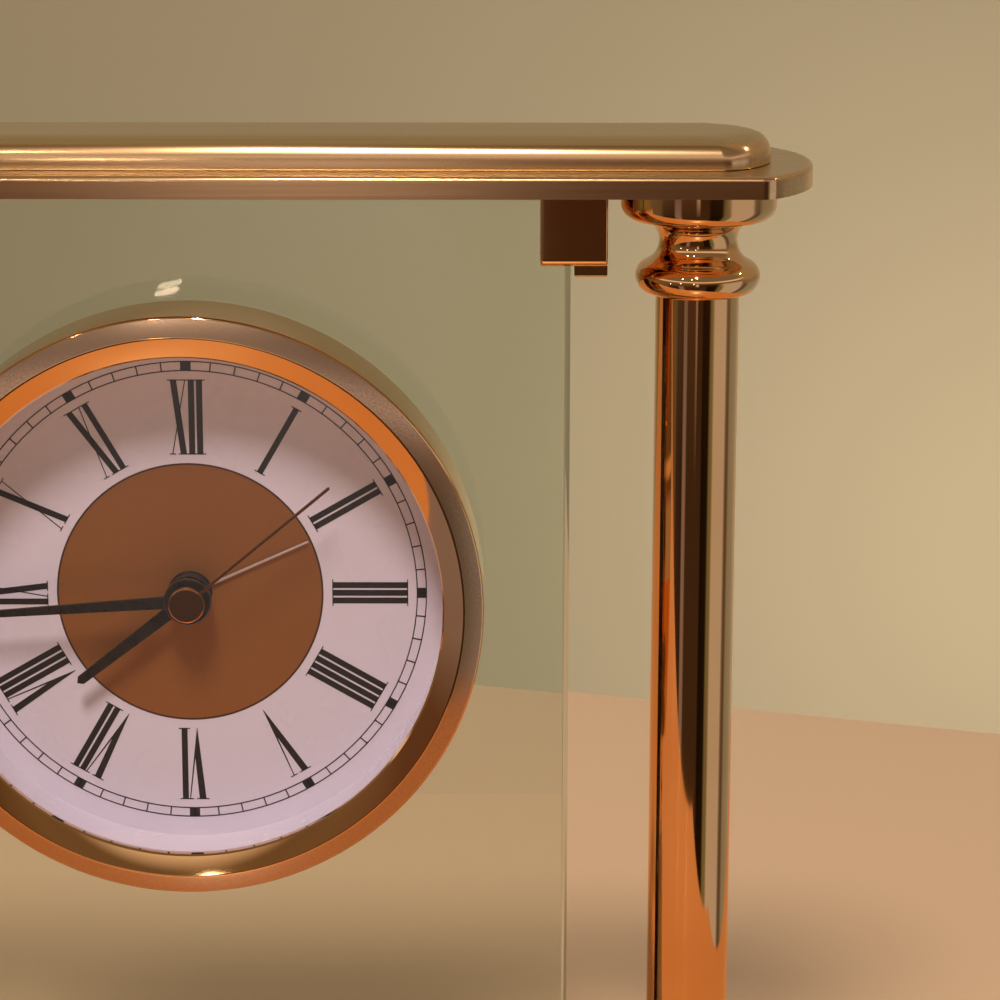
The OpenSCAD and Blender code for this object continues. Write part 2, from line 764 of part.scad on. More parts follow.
// Electric pieces
module stator() color("#8f8f94") at_dial() {
    left_x = rotor_at[0] - stator_half;
    low_y = rotor_at[1] - stator_half;
    difference() {
        prism(stator_f, stator_f + stator_t) union() {
            translate([left_x, low_y]) square(2 * stator_half);
            translate([left_x, low_y]) square([stator_leg, stator_h]);
            translate([left_x, low_y + stator_h - stator_bar])
                square([coil_x - left_x, stator_bar]);
            translate([coil_x - core_w / 2, low_y]) square([core_w, stator_h]);
        }
        translate([rotor_at[0], rotor_at[1], stator_f - 1])
            cylinder(h = stator_t + 2, r = magnet_r + 0.5);
    }
}

module drive_coil() color("#b5651d") at_dial() {
    slot_w = core_w + 2 * hole_gap;
    slot_t = stator_t + 2 * hole_gap;
    translate([coil_x, rotor_at[1] + stator_half + coil_lift, stator_f + stator_t / 2])
        rotate([-90, 0, 0]) difference() {
            cylinder(h = coil_l, r = coil_r);
            translate([-slot_w / 2, -slot_t / 2, -1]) cube([slot_w, slot_t, coil_l + 2]);
        }
}

board_w = 10;
board_l = 15;
board_t = 0.8;
board_at = [-half_w + 5.5, bay_top_y + 7.5];
module circuit_board() color("#1f6b3a") at_dial() {
    translate([board_at[0], board_at[1], back_inner_f]) cube([board_w, board_l, board_t]);
    translate([board_at[0] + 6, board_at[1] + 5, back_inner_f + board_t]) cylinder(h = 1, r = 2.6);
}

can_r = 1;
module quartz_can() color(steel) at_dial() {
    translate([board_at[0] + 2, board_at[1] + 7, back_inner_f + board_t + can_r])
        rotate([-90, 0, 0]) cylinder(h = 6, r = can_r);
}

contact_t = 0.4;
nub_l = 1.3;
battery_x0 = half_w - movement_wall - 0.1 - contact_t - nub_l - battery_l - 0.05;
module battery() color("#7d8a94") at_dial() {
    translate([battery_x0, battery_y, battery_f]) rotate([0, 90, 0]) {
        cylinder(h = battery_l, r = battery_r);
        translate([0, 0, battery_l - eps]) cylinder(h = nub_l + eps, r = 2.7);
    }
}

module contact_positive() color(steel) at_dial() {
    translate([half_w - movement_wall - 0.1 - contact_t, battery_y - 4, battery_f - 4])
        cube([contact_t, 8, 8]);
}

// A plate with a stepped cone of turns that presses on the battery
module contact_negative() color(steel) at_dial() {
    plate_x = -half_w + movement_wall + 0.1;
    translate([plate_x, battery_y - 4, battery_f - 4]) cube([contact_t, 8, 8]);
    translate([plate_x + contact_t - eps, battery_y, battery_f]) rotate([0, 90, 0])
        cylinder(h = battery_x0 - plate_x - contact_t, r1 = 3.4, r2 = 2.2);
}

// Tooth counts. The going train turns the seconds wheel once a minute and the centre
// wheel once an hour, and the motion work turns the hour wheel once in twelve hours.
rotor_teeth = 8;
step_teeth = [40, 10];
seconds_teeth = [60, 8];
third_teeth = [60, 8];
centre_teeth = 64;
cannon_teeth = 12;
motion_teeth = [36, 10];
hour_teeth = 40;

// A tooth narrows from root to tip, with play on both flanks
root_share = 0.3;
tip_share = 0.11;

function polar(r, a) = r * [cos(a), sin(a)];

function wheel_points(teeth, module_size) =
    let (pitch = 360 / teeth, r = teeth * module_size / 2,
         tip = r + 0.8 * module_size, root = r - 1.2 * module_size)
    [for (i = [0:teeth - 1], k = [[root, -root_share], [tip, -tip_share],
                                  [tip, tip_share], [root, root_share]])
        polar(k[0], (i + k[1]) * pitch)];

// A toothed wheel from z0 to z1, with a tooth at the given angle
module wheel(teeth, module_size, z0, z1, tooth_angle) {
    rotate(tooth_angle) prism(z0, z1) polygon(wheel_points(teeth, module_size));
}

// The same wheel with a gap at the given angle
module wheel_gap(teeth, module_size, z0, z1, gap_angle) {
    wheel(teeth, module_size, z0, z1, gap_angle + 180 / teeth);
}

function mesh_module(distance, a, b) = 2 * distance / (a + b);

cannon_m = mesh_module(motion_x, cannon_teeth, motion_teeth[0]);
hour_m = mesh_module(motion_x, hour_teeth, motion_teeth[1]);
third_m = mesh_module(third_x, seconds_teeth[1], third_teeth[0]);
centre_m = mesh_module(third_x, third_teeth[1], centre_teeth);
step_m = mesh_module(step_x, seconds_teeth[0], step_teeth[1]);
rotor_m = mesh_module(rotor_x, step_teeth[0], rotor_teeth);

// Levels of the wheels behind the dial, front to back
hour_lv = [0.5, 1.3];
cannon_lv = [-0.9, 0.1];
centre_lv = [-1.9, -1.3];
third_lv = [-3.3, -2.7];
seconds_lv = [-4.7, -4.1];
step_lv = [-6.1, -5.5];
magnet_lv = [-8.4, -6.4];

second_arbor_r = 0.6;
cannon_inner_r = second_arbor_r + run_gap;
cannon_outer_r = 1.5;
hour_inner_r = cannon_outer_r + run_gap;
hour_pipe_r = 2.3;
bushing_f = dial_f + 1.4;
knob_shaft_r = 1.6;

// Heights of the hands in front of the dial
hour_hand_f = dial_f + 2.9;
minute_hand_f = dial_f + 4.6;
second_hand_f = dial_f + 6.6;
hub_cap_f = dial_f + 7.5;

module pivot(at, z0, z1, r) {
    translate([at[0], at[1], z0]) cylinder(h = z1 - z0, r = r, $fn = 32);
}

// An arbor with a thinner pivot at each end, between the front wall and a rear boss
module arbor(at) {
    pivot(at, rear_boss_f - pivot_l, front_inner_f + pivot_l, pivot_r);
    pivot(at, rear_boss_f + 0.2, front_inner_f - 0.2, arbor_r);
}

module rotor() color("#3c3c44") at_dial() {
    arbor(rotor_at);
    translate([rotor_at[0], rotor_at[1], magnet_lv[0]])
        cylinder(h = magnet_lv[1] - magnet_lv[0], r = magnet_r);
    translate([rotor_at[0], rotor_at[1], 0])
        wheel_gap(rotor_teeth, rotor_m, magnet_lv[1] - eps, step_lv[1] + 0.2, 150);
}

module intermediate_wheel() color("#e8e2d2") at_dial() {
    arbor(step_at);
    translate([step_at[0], step_at[1], 0]) {
        wheel(step_teeth[0], rotor_m, step_lv[0], step_lv[1], -30);
        wheel_gap(step_teeth[1], step_m, step_lv[1] - eps, seconds_lv[1] + 0.2, 200);
    }
}

module seconds_wheel() color("#e8e2d2") at_dial() {
    pivot([0, 0], rear_boss_f - pivot_l, 0, pivot_r);
    translate([0, 0, rear_boss_f + 0.2])
        cylinder(h = second_hand_f - rear_boss_f - 0.2, r = second_arbor_r);
    wheel(seconds_teeth[0], step_m, seconds_lv[0], seconds_lv[1], 20);
    wheel_gap(seconds_teeth[1], third_m, seconds_lv[1] - eps, third_lv[1] + 0.2, 150);
}

module third_wheel() color("#e8e2d2") at_dial() {
    arbor(third_at);
    translate([third_at[0], third_at[1], 0]) {
        wheel(third_teeth[0], third_m, third_lv[0], third_lv[1], -30);
        wheel_gap(third_teeth[1], centre_m, third_lv[1] - eps, centre_lv[1] + 0.2, -30);
    }
}

module centre_wheel() color("#d9b25a") at_dial() {
    difference() {
        wheel(centre_teeth, centre_m, centre_lv[0], centre_lv[1], 150);
        translate([0, 0, -through / 2]) cylinder(h = through, r = cannon_outer_r + run_gap);
    }
}

module cannon_pinion() color(brass) at_dial() {
    difference() {
        union() {
            translate([0, 0, centre_lv[0] - 0.1])
                cylinder(h = minute_hand_f - centre_lv[0] + 0.1, r = cannon_outer_r);
            wheel_gap(cannon_teeth, cannon_m, cannon_lv[0], cannon_lv[1], 90);
        }
        translate([0, 0, -through / 2]) cylinder(h = through, r = cannon_inner_r);
    }
}

module motion_wheel() color("#e8e2d2") at_dial() {
    pivot(motion_at, cannon_lv[0], front_inner_f + pivot_l, pivot_r);
    translate([motion_at[0], motion_at[1], 0]) {
        wheel(motion_teeth[0], cannon_m, cannon_lv[0] + 0.1, cannon_lv[1] - 0.1, -90);
        wheel_gap(motion_teeth[1], hour_m, cannon_lv[1] - 0.1 - eps, hour_lv[1] + 0.1, -90);
    }
    pivot(motion_at, movement_back_f + 0.2, cannon_lv[0] + 0.1 + eps, arbor_r);
}

module hour_wheel() color("#e8e2d2") at_dial() {
    difference() {
        union() {
            wheel(hour_teeth, hour_m, hour_lv[0], hour_lv[1], 90);
            translate([0, 0, hour_lv[0]])
                cylinder(h = hour_hand_f - hour_lv[0], r = hour_pipe_r);
        }
        translate([0, 0, -through / 2]) cylinder(h = through, r = hour_inner_r);
    }
}

lobes = 24;
module setting_knob() color(black_plastic) at_dial() {
    knob_f = movement_back_f - 0.4;
    difference() {
        union() {
            translate([motion_at[0], motion_at[1], knob_f - knob_h]) difference() {
                cylinder(h = knob_h, r = knob_r);
                for (i = [0:lobes - 1]) rotate(i * 360 / lobes)
                    translate([knob_r + 0.35, 0, -1]) cylinder(h = knob_h + 2, r = 0.7);
            }
            pivot(motion_at, knob_f - eps, movement_back_f + movement_wall + 0.6, knob_shaft_r);
        }
        pivot(motion_at, movement_back_f + 0.1, movement_back_f + 10, arbor_r + eps);
    }
}

// Hands. A blade points at twelve and is turned clockwise.
module blade(root_x, length, width, tip_w) {
    polygon([[-width / 2, root_x], [width / 2, root_x], [tip_w / 2, length - tip_w],
             [0, length], [-tip_w / 2, length - tip_w]]);
}

module hour_hand() color("#1a1a1a") at_dial() rotate(-hour_angle) {
    ring(boss_r - 0.1, cannon_outer_r + 2 * run_gap, hour_hand_f, hour_hand_f + blade_t);
    prism(hour_hand_f, hour_hand_f + blade_t) blade(boss_r - 0.6, hour_l, hand_w, hand_w * 0.7);
}

module minute_hand() color("#1a1a1a") at_dial() rotate(-minute_angle) {
    ring(boss_r, second_arbor_r + 2 * run_gap, minute_hand_f, minute_hand_f + 0.9);
    prism(minute_hand_f, minute_hand_f + blade_t)
        blade(boss_r - 0.5, minute_l, hand_w * 0.95, hand_w * 0.5);
}

module second_hand() color("#8a6a45") at_dial() rotate(-second_angle) {
    translate([0, 0, second_hand_f]) cylinder(h = hub_cap_f - second_hand_f, r = hub_cap_r);
    prism(second_hand_f, second_hand_f + blade_t)
        blade(hub_cap_r - 0.4, second_l, 0.7, 0.35);
}

felt_pad();
base_plinth();
base_plate();
plinth_screws();
lower_capital(-1);  // lower_capital_left
lower_capital(1);  // lower_capital_right
column(-1);  // column_left
column(1);  // column_right
upper_capital(-1);  // upper_capital_left
upper_capital(1);  // upper_capital_right
tie_rod(-1);  // tie_rod_left
tie_rod(1);  // tie_rod_right
lower_nuts();
upper_nuts();
top_plate();
top_cap();
cap_screws();
glass_panel();
clip(-1, true);  // clip_upper_left
clip(1, true);  // clip_upper_right
clip(-1, false);  // clip_lower_left
clip(1, false);  // clip_lower_right
clip_liners();
clip_screws();
gasket();
case();
clamp_ring();
dial();
dial_surround();
crystal();
bezel();
movement_base();
movement_cover();
movement_screws();
cover_screws();
circuit_board();
quartz_can();
stator();
drive_coil();
battery();
contact_positive();
contact_negative();
rotor();
intermediate_wheel();
third_wheel();
seconds_wheel();
centre_wheel();
cannon_pinion();
motion_wheel();
hour_wheel();
setting_knob();
hour_hand();
minute_hand();
second_hand();
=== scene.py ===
"""The looks of a brass and glass mantel clock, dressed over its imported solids.

Lengths written here are in millimetres and become metres in the meshes; only the camera and
the lamps are placed in metres. X is right, Y goes away from the viewer and Z is up. The felt
lies on z = 0, the glass stands in y = 0, and the dial faces -Y. A height "f" is a distance in
front of the middle of the glass, so y = -f.
"""

import json
import math

import bpy
from mathutils import Matrix, Vector

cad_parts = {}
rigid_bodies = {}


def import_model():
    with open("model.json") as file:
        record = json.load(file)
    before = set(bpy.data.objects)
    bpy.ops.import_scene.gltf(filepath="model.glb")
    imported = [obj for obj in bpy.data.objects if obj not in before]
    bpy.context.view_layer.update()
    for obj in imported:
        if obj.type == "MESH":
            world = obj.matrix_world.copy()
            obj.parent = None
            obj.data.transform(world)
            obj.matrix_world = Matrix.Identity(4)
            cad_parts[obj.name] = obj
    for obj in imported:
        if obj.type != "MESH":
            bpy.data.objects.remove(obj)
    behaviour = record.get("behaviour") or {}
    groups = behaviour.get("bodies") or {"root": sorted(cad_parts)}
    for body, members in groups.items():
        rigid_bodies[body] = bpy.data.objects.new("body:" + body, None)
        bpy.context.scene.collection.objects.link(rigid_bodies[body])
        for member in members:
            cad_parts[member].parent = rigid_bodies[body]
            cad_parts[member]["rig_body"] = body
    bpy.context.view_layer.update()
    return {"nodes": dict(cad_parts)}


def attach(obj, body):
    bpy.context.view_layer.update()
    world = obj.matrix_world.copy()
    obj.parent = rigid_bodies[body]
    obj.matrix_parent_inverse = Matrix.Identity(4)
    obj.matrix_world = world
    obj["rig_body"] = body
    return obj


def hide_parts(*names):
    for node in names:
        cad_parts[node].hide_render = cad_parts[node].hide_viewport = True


MM = 0.001
# Vertices closer than this are merged, and a place is met within this
MERGE = 0.003
NEAR = 0.01

# Camera, as far, as high and as long a lens as the photograph's
LENS = 124.8
SENSOR = 36.0
CAMERA_PLACE = (0.04696, -0.51592, 0.25277)
CAMERA_YAW = -0.00085
CAMERA_DIP = 0.25008
CAMERA_ROLL = 0.0013

# Plates, as (length, depth, radius of the bowed ends, radius of the corners)
PLATE = (188.4, 33.0, 22.0, 3.0)
CAP = (175.8, 21.6, 12.0, 4.0)
PLINTH = (201.0, 45.6, 28.3, 9.3)
FELT = (197.0, 41.6, 26.3, 7.3)
PLATE_T = 3.3
PLINTH_Z = 1.0
BASE_Z = 7.0
FLOOR_Z = 10.3
CEILING_Z = 170.3
MIDDLE_Z = (FLOOR_Z + CEILING_Z) / 2
CAP_Z = 173.6
TOP_Z = 178.3
FELT_ROUND = 0.3
PLINTH_ROUND = (3.5, 0.5)
PLATE_ROUND = 0.7

# Cap: a fine dark joint under it, an upright foot, then a side drawn as a quarter of an
# ellipse of CAP_SIDE (inward, upward) from CAP_SIDE_Z, and a soft shoulder to the top
CAP_JOINT = 0.05
CAP_FOOT = 0.52
CAP_FOOT_ROUND = 0.12
CAP_SIDE = (1.9, 3.0)
CAP_SIDE_Z = 174.6
CAP_SIDE_TURNS = (0, 10, 20, 29, 37, 45, 52, 59, 65)
CAP_SHOULDER = [(1.35, 177.5), (2.1, 177.86), (2.9, 178.08), (3.8, 178.22), (4.8, 178.28),
                (6.0, TOP_Z)]
SATIN_Z = 177.35

# Columns
COLUMN_X = 77.2
TUBE_R = 6.35
TUBE_WALL = 0.8
ROD_HOLE_R = 2.2
FLANGE_R = 11.8
FLANGE_H = 3.3
FLANGE_ROUND = 2.1
NECK_R = 5.93
COVE_R = 3.4
BEAD_R = 2.55
BEAD_RING_R = 6.9
SPIGOT_R = 5.5
SPIGOT_L = 6.0
FLANGE_EASE = 0.2
TUBE_EASE = 0.1

# Clips, with the glass between x = -58 and x = 58
CLIP_INNER_X = 53.4
CLIP_SIDE_X = 58.5
CLIP_OUTER_X = 63.5
CLIP_H = 12.2
CLIP_DROP = 1.8
CLIP_T = 1.8
CLIP_SLOT = 2.9
CLIP_ROOF = 1.2
CLIP_ROUND = 1.2
CLIP_EASE = 0.4
BLOCK_EASE = 0.3

# Insert
DIAL_Z = 107.65
DIAL_F = 4.7
DIAL_BACK_F = 4.2
DIAL_R = 43.5
BUSHING_R = 3.4
BEZEL_R = 45.0
CREST_R = 42.0
LIP_R = 38.8
SKIRT_R = 44.0
SKIRT_F = 2.7
RIM_F = 15.2
CREST_F = 16.4
LIP_F = 15.4
SEAT_F = 14.4
GLAZING_F = 12.9
CRYSTAL_R = 43.9
RIM_ROUND = 0.45
CREST_ROUND = 0.5

# Case, as a web behind the dial, a tube through the glass and two posts
WEB_F = 3.0
TUBE_BACK_F = -8.5
TUBE_R_OUT = 40.2
CASE_WALL = 1.4
CASE_EASE = 0.2
POST_R = (1.05, 3.0)
POST_BACK_F = -2.2

# Clamp ring, as radii and as the f of its two faces
CLAMP_R = (40.3, 43.1)
CLAMP_F = (-2.5, -6.0)
CLAMP_EASE = 0.25
NOTCHES = 24
NOTCH_R = 2.0
NOTCH_F = (-3.5, -7.0)

# Screws at the back, as profiles of (radius, f), with the reach of their cross recesses
COVER_SCREW_X = 25.0
COVER_SCREW_Z = (98.85, 132.65)
COVER_SCREW = [(0, -1.5), (0.9, -1.5), (0.9, -13), (1.7, -13), (1.7, -13.4), (1.6, -13.62),
               (1.35, -13.75), (0.9, -13.8), (0, -13.8)]
COVER_RECESS = 0.95
EAR_SCREW_X = 31.6
EAR_SCREW = [(0, 1.8), (1, 1.8), (1, -3.8), (2, -3.8), (2, -4.5), (1.9, -4.78), (1.6, -4.93),
             (1.1, -5), (0, -5)]
EAR_RECESS = 1.1
RECESS_W = 0.45
RECESS_DEPTH = 0.6

# Battery, with its axis as (y, z)
BATTERY_X = (-24.05, 26.25)
BATTERY_NUB = 1.3
BATTERY_AT = (5.05, 88.15)
BATTERY_R = 7.1

# Print on the dial, thick enough to be a solid and sunk so that it has no gap behind it
PRINT_F = DIAL_F + 0.04
PRINT_T = 0.06
RING_BACK_F = DIAL_F - 0.02
DISC_F = DIAL_F + 0.03
DISC_R = 20.4
DISC_LINE = 0.28
TRACK_R = (34.76, 36.16)
TRACK_LINE = 0.17
TICK_W = 0.2
BLOCK_W = 1.6
NUMERAL_R = (21.75, 33.35)
BAR_W = 0.92
BAR_GAP = 0.3
BAR_PITCH = BAR_W + BAR_GAP
HAIR = 0.15
SERIF = 0.42
# Widths of a V and an X alone, and from where either begins to its first bar
FIVE_W = 2.9
TEN_W = 2.45
AFTER_LETTER = 2.75
# In a nine, the bar starts here, and the X after it reaches this far
NINE_X = -1.9
NINE_REACH = 2.3

# Hands, as body, slot, degrees clockwise from twelve, blade and hub. A blade is its root,
# length, width at the root and at the tip, f and thickness, and a hub is (radius, rise over f)
HANDS = [
    ("hour", "black_hands", 232.0, (3.0, 22.0, 2.1, 1.47, 7.6, 0.4),
     [(1.6, 0), (3.45, 0), (3.5, 0.05), (3.5, 0.35), (3.45, 0.4), (1.6, 0.4)]),
    ("minute", "black_hands", 266.0, (3.1, 32.5, 2.0, 1.05, 9.3, 0.4),
     [(0.7, 0), (3.5, 0), (3.6, 0.1), (3.6, 0.75), (3.45, 0.9), (0.7, 0.9)]),
    ("second", "bronze_hand", 50.1, (2.4, 28.5, 0.45, 0.5, 11.3, 0.3),
     [(0, 0), (2.75, 0), (2.8, 0.05), (2.8, 0.65), (2.72, 0.82), (2.55, 0.9), (2.5, 0.9),
      (0, 0.9)]),
]
# The thin fourth hand, close over the disc
ALARM_ANGLE = 65.7
ALARM_BLADE = (BUSHING_R + 0.2, 20.0, 0.4, 0.32, 5.1, 0.2)
BLADE_EASE = 0.08

# Steps round a turned piece, and along an arc of an outline
ROUND = 128
ARC = 12


def add_camera():
    """The camera, with its depth of field off."""
    data = bpy.data.cameras.new("camera")
    data.lens = LENS
    data.sensor_width = SENSOR
    data.clip_start = 0.01
    camera = bpy.data.objects.new("camera", data)
    bpy.context.scene.collection.objects.link(camera)
    yaw = Matrix.Rotation(CAMERA_YAW, 4, "Z")
    pitch = Matrix.Rotation(math.pi / 2 - CAMERA_DIP, 4, "X")
    roll = Matrix.Rotation(CAMERA_ROLL, 4, "Z")
    camera.matrix_world = Matrix.Translation(CAMERA_PLACE) @ yaw @ pitch @ roll
    bpy.context.scene.camera = camera


# Modelling
def select_only(piece):
    """Selects one piece, because an operator acts on all that is selected."""
    bpy.ops.object.select_all(action="DESELECT")
    piece.select_set(True)
    bpy.context.view_layer.objects.active = piece


def open_mesh(piece, kind="VERT", select="SELECT"):
    """Opens a piece's mesh for editing, with all or none of it selected."""
    select_only(piece)
    bpy.ops.object.mode_set(mode="EDIT")
    bpy.ops.mesh.select_mode(type=kind)
    bpy.ops.mesh.select_all(action=select)


def close_mesh():
    bpy.ops.object.mode_set(mode="OBJECT")


def deselect_mesh(piece, kind):
    """Leaves nothing of a piece's mesh selected, so that code can select parts of it."""
    open_mesh(piece, kind, "DESELECT")
    close_mesh()


def arc(x, y, r, start, end, steps=ARC):
    """Points on an arc, with its angles in degrees."""
    angles = [math.radians(start + (end - start) * i / steps) for i in range(steps + 1)]
    return [(x + r * math.cos(a), y + r * math.sin(a)) for a in angles]


def draw(name, points):
    """A line through points in space, drawn one vertex after another."""
    bpy.ops.object.select_all(action="DESELECT")
    bpy.ops.mesh.primitive_plane_add(size=MM)
    piece = bpy.context.object
    piece.name = name
    open_mesh(piece)
    bpy.ops.mesh.merge(type="CENTER")
    bpy.ops.transform.translate(value=Vector(points[0]) * MM)
    for here, there in zip(points, points[1:]):
        step = (Vector(there) - Vector(here)) * MM
        bpy.ops.mesh.extrude_vertices_move(TRANSFORM_OT_translate={"value": step})
    close_mesh()
    return piece


def tidy_mesh(piece):
    """Merges what meets and turns every face outwards."""
    open_mesh(piece)
    bpy.ops.mesh.remove_doubles(threshold=MERGE * MM)
    bpy.ops.mesh.normals_make_consistent(inside=False)
    close_mesh()


def turn(name, points, centre, axis):
    """A profile spun right round an axis on a lathe."""
    piece = draw(name, points)
    open_mesh(piece)
    bpy.ops.mesh.spin(steps=ROUND, angle=math.tau, center=Vector(centre) * MM, axis=axis)
    close_mesh()
    tidy_mesh(piece)
    return piece


def turn_upright(name, profile, x):
    """A turned piece that stands at x, from a closed profile of (radius, z)."""
    points = [(x + r, 0, z) for r, z in profile + profile[:1]]
    return turn(name, points, (x, 0, 0), (0, 0, 1))


def turn_facing(name, profile, x=0.0, z=DIAL_Z):
    """A turned piece that faces the viewer, from a closed profile of (radius, f)."""
    points = [(x + r, -f, z) for r, f in profile + profile[:1]]
    return turn(name, points, (x, 0, z), (0, 1, 0))


def extrude(step):
    """Extrudes what is selected in the open mesh."""
    bpy.ops.mesh.extrude_region_move(TRANSFORM_OT_translate={"value": Vector(step) * MM})


def ring(inner, outer, back, front):
    """The profile of a plain ring or disc, as (radius, f)."""
    return [(inner, back), (outer, back), (outer, front), (inner, front)]


def sheet(name, points, thickness):
    """A flat outline, extruded by a vector."""
    piece = draw(name, points)
    open_mesh(piece)
    bpy.ops.mesh.edge_face_add()
    extrude(thickness)
    close_mesh()
    tidy_mesh(piece)
    return piece


def repeat_round(piece, count):
    """Repeats a mesh in a circle about the dial's middle."""
    open_mesh(piece)
    bpy.ops.mesh.spin(steps=count - 1, dupli=True, angle=math.tau * (count - 1) / count,
                      center=Vector((0, 0, DIAL_Z)) * MM, axis=(0, 1, 0))
    close_mesh()


def bevel_edges(piece, wanted, width, segments):
    """Rounds the edges whose two ends pass the test."""
    deselect_mesh(piece, "EDGE")
    points = [v.co / MM for v in piece.data.vertices]
    for edge in piece.data.edges:
        a, b = edge.vertices
        edge.select = wanted(points[a], points[b])
    bpy.ops.object.mode_set(mode="EDIT")
    bpy.ops.mesh.bevel(offset=width * MM, segments=segments, profile=0.5, clamp_overlap=False)
    close_mesh()


def level_at(height):
    """A test for edges that lie at a height."""
    return lambda a, b: abs(a.z - height) + abs(b.z - height) < NEAR


def smooth(piece, angle=35):
    """Shades a piece as smooth, but for edges sharper than an angle."""
    select_only(piece)
    bpy.ops.object.shade_smooth_by_angle(angle=math.radians(angle))


def level_shading(piece, angle=35):
    """Smooths a piece and keeps its large flat faces flat where they meet a rounding."""
    smooth(piece, angle)
    modifier = piece.modifiers.new("flat faces", "WEIGHTED_NORMAL")
    modifier.keep_sharp = True
    bpy.ops.object.modifier_apply(modifier=modifier.name)


def join(pieces, name):
    """Several meshes as one piece."""
    bpy.ops.object.select_all(action="DESELECT")
    for piece in pieces:
        piece.select_set(True)
    bpy.context.view_layer.objects.active = pieces[0]
    bpy.ops.object.join()
    whole = bpy.context.object
    whole.name = name
    return whole


def copied(piece, name, shift=(0, 0, 0), flip=None):
    """A copy with its own mesh, shifted, or mirrored by (axis, place)."""
    select_only(piece)
    bpy.ops.object.duplicate()
    twin = bpy.context.object
    twin.name = name
    open_mesh(twin)
    bpy.ops.transform.translate(value=Vector(shift) * MM)
    if flip:
        axis, place = flip
        scale = [-1 if i == axis else 1 for i in range(3)]
        middle = [place * MM if i == axis else 0 for i in range(3)]
        bpy.ops.transform.resize(value=scale, center_override=middle)
        bpy.ops.mesh.normals_make_consistent(inside=False)
    close_mesh()
    return twin


def cut(piece, tool, kind="DIFFERENCE"):
    """Cuts a tool out of a piece, or welds it on, and removes the tool."""
    select_only(piece)
    modifier = piece.modifiers.new("cut", "BOOLEAN")
    modifier.operation = kind
    modifier.object = tool
    modifier.solver = "EXACT"
    bpy.ops.object.modifier_apply(modifier=modifier.name)
    bpy.data.objects.remove(tool)


def solid_copy(node_name):
    """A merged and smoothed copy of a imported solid, for a form that needs no more."""
    solid = NODES[node_name]
    select_only(solid)
    bpy.ops.object.duplicate()
    piece = bpy.context.object
    piece.name = node_name + "_smooth"
    world = piece.matrix_world.copy()
    piece.parent = None
    piece.matrix_world = world
    # The copy is no node, so it drops the node's tags
    for key in list(piece.keys()):
        del piece[key]
    open_mesh(piece)
    bpy.ops.mesh.remove_doubles(threshold=MERGE * MM)
    close_mesh()
    level_shading(piece, 28)
    return piece


def finish_piece(piece, slot, *replaced, body="clock", looks=None):
    """Places a piece on its body in place of its solids, with its slot's material or others."""
    piece.data.materials.clear()
    for name in looks or [slot]:
        piece.data.materials.append(MADE[name])
    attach(piece, body)
    if replaced:
        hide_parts(*replaced)


# Materials
def colour(code):
    """An sRGB hex colour in the linear values that the shaders use."""
    parts = [int(code[i:i + 2], 16) / 255 for i in (1, 3, 5)]
    return [c / 12.92 if c <= 0.04045 else ((c + 0.055) / 1.055) ** 2.4 for c in parts] + [1]


def add(tree, kind, links=None, values=None, **settings):
    """Adds a node with its settings, the values of its inputs and the links into them."""
    node = tree.nodes.new(kind)
    for name, value in settings.items():
        setattr(node, name, value)
    for name, value in (values or {}).items():
        node.inputs[name].default_value = value
    for name, socket in (links or {}).items():
        tree.links.new(socket, node.inputs[name])
    return node


def new_material(name):
    """An empty material with its shader and its output."""
    material = bpy.data.materials.new(name)
    material.use_nodes = True
    tree = material.node_tree
    tree.nodes.clear()
    shader = add(tree, "ShaderNodeBsdfPrincipled")
    add(tree, "ShaderNodeOutputMaterial", {"Surface": shader.outputs["BSDF"]})
    return material, tree, shader


def spots(tree, scale, detail=2.0):
    """Noise on the object's own coordinates, with one scale per metre or one for each axis."""
    scale = (scale,) * 3 if isinstance(scale, int) else scale
    place = add(tree, "ShaderNodeTexCoord").outputs["Object"]
    mapped = add(tree, "ShaderNodeMapping", {"Vector": place}, {"Scale": scale})
    return add(tree, "ShaderNodeTexNoise", {"Vector": mapped.outputs[0]},
               {"Scale": 1.0, "Detail": detail}).outputs["Fac"]


def spread(tree, source, low, high):
    """Maps a pattern from the middle of its range to a range of values."""
    return add(tree, "ShaderNodeMapRange", {"Value": source},
               {"From Min": 0.3, "From Max": 0.7, "To Min": low, "To Max": high}).outputs[0]


def blend(tree, factor, first, second):
    """Mixes two colours, each a socket or a value."""
    node = add(tree, "ShaderNodeMix", data_type="RGBA")
    for name, value in ((0, factor), (6, first), (7, second)):
        if isinstance(value, bpy.types.NodeSocket):
            tree.links.new(value, node.inputs[name])
        else:
            node.inputs[name].default_value = value
    return node.outputs[2]


def surface(name, first, second, scale, roughness, depth=0.0, metallic=0.0, detail=2.0, **more):
    """A material whose colour, roughness and relief, in micrometres, vary by one pattern."""
    material, tree, shader = new_material(name)
    pattern = spots(tree, scale, detail)
    mixed = blend(tree, spread(tree, pattern, 0.0, 1.0), colour(first), colour(second))
    tree.links.new(mixed, shader.inputs["Base Color"])
    tree.links.new(spread(tree, pattern, *roughness), shader.inputs["Roughness"])
    shader.inputs["Metallic"].default_value = metallic
    for key, value in more.items():
        shader.inputs[key.replace("_", " ")].default_value = value
    if depth:
        bump = add(tree, "ShaderNodeBump", {"Height": pattern}, {"Distance": depth * MM * MM})
        tree.links.new(bump.outputs[0], shader.inputs["Normal"])
    return material


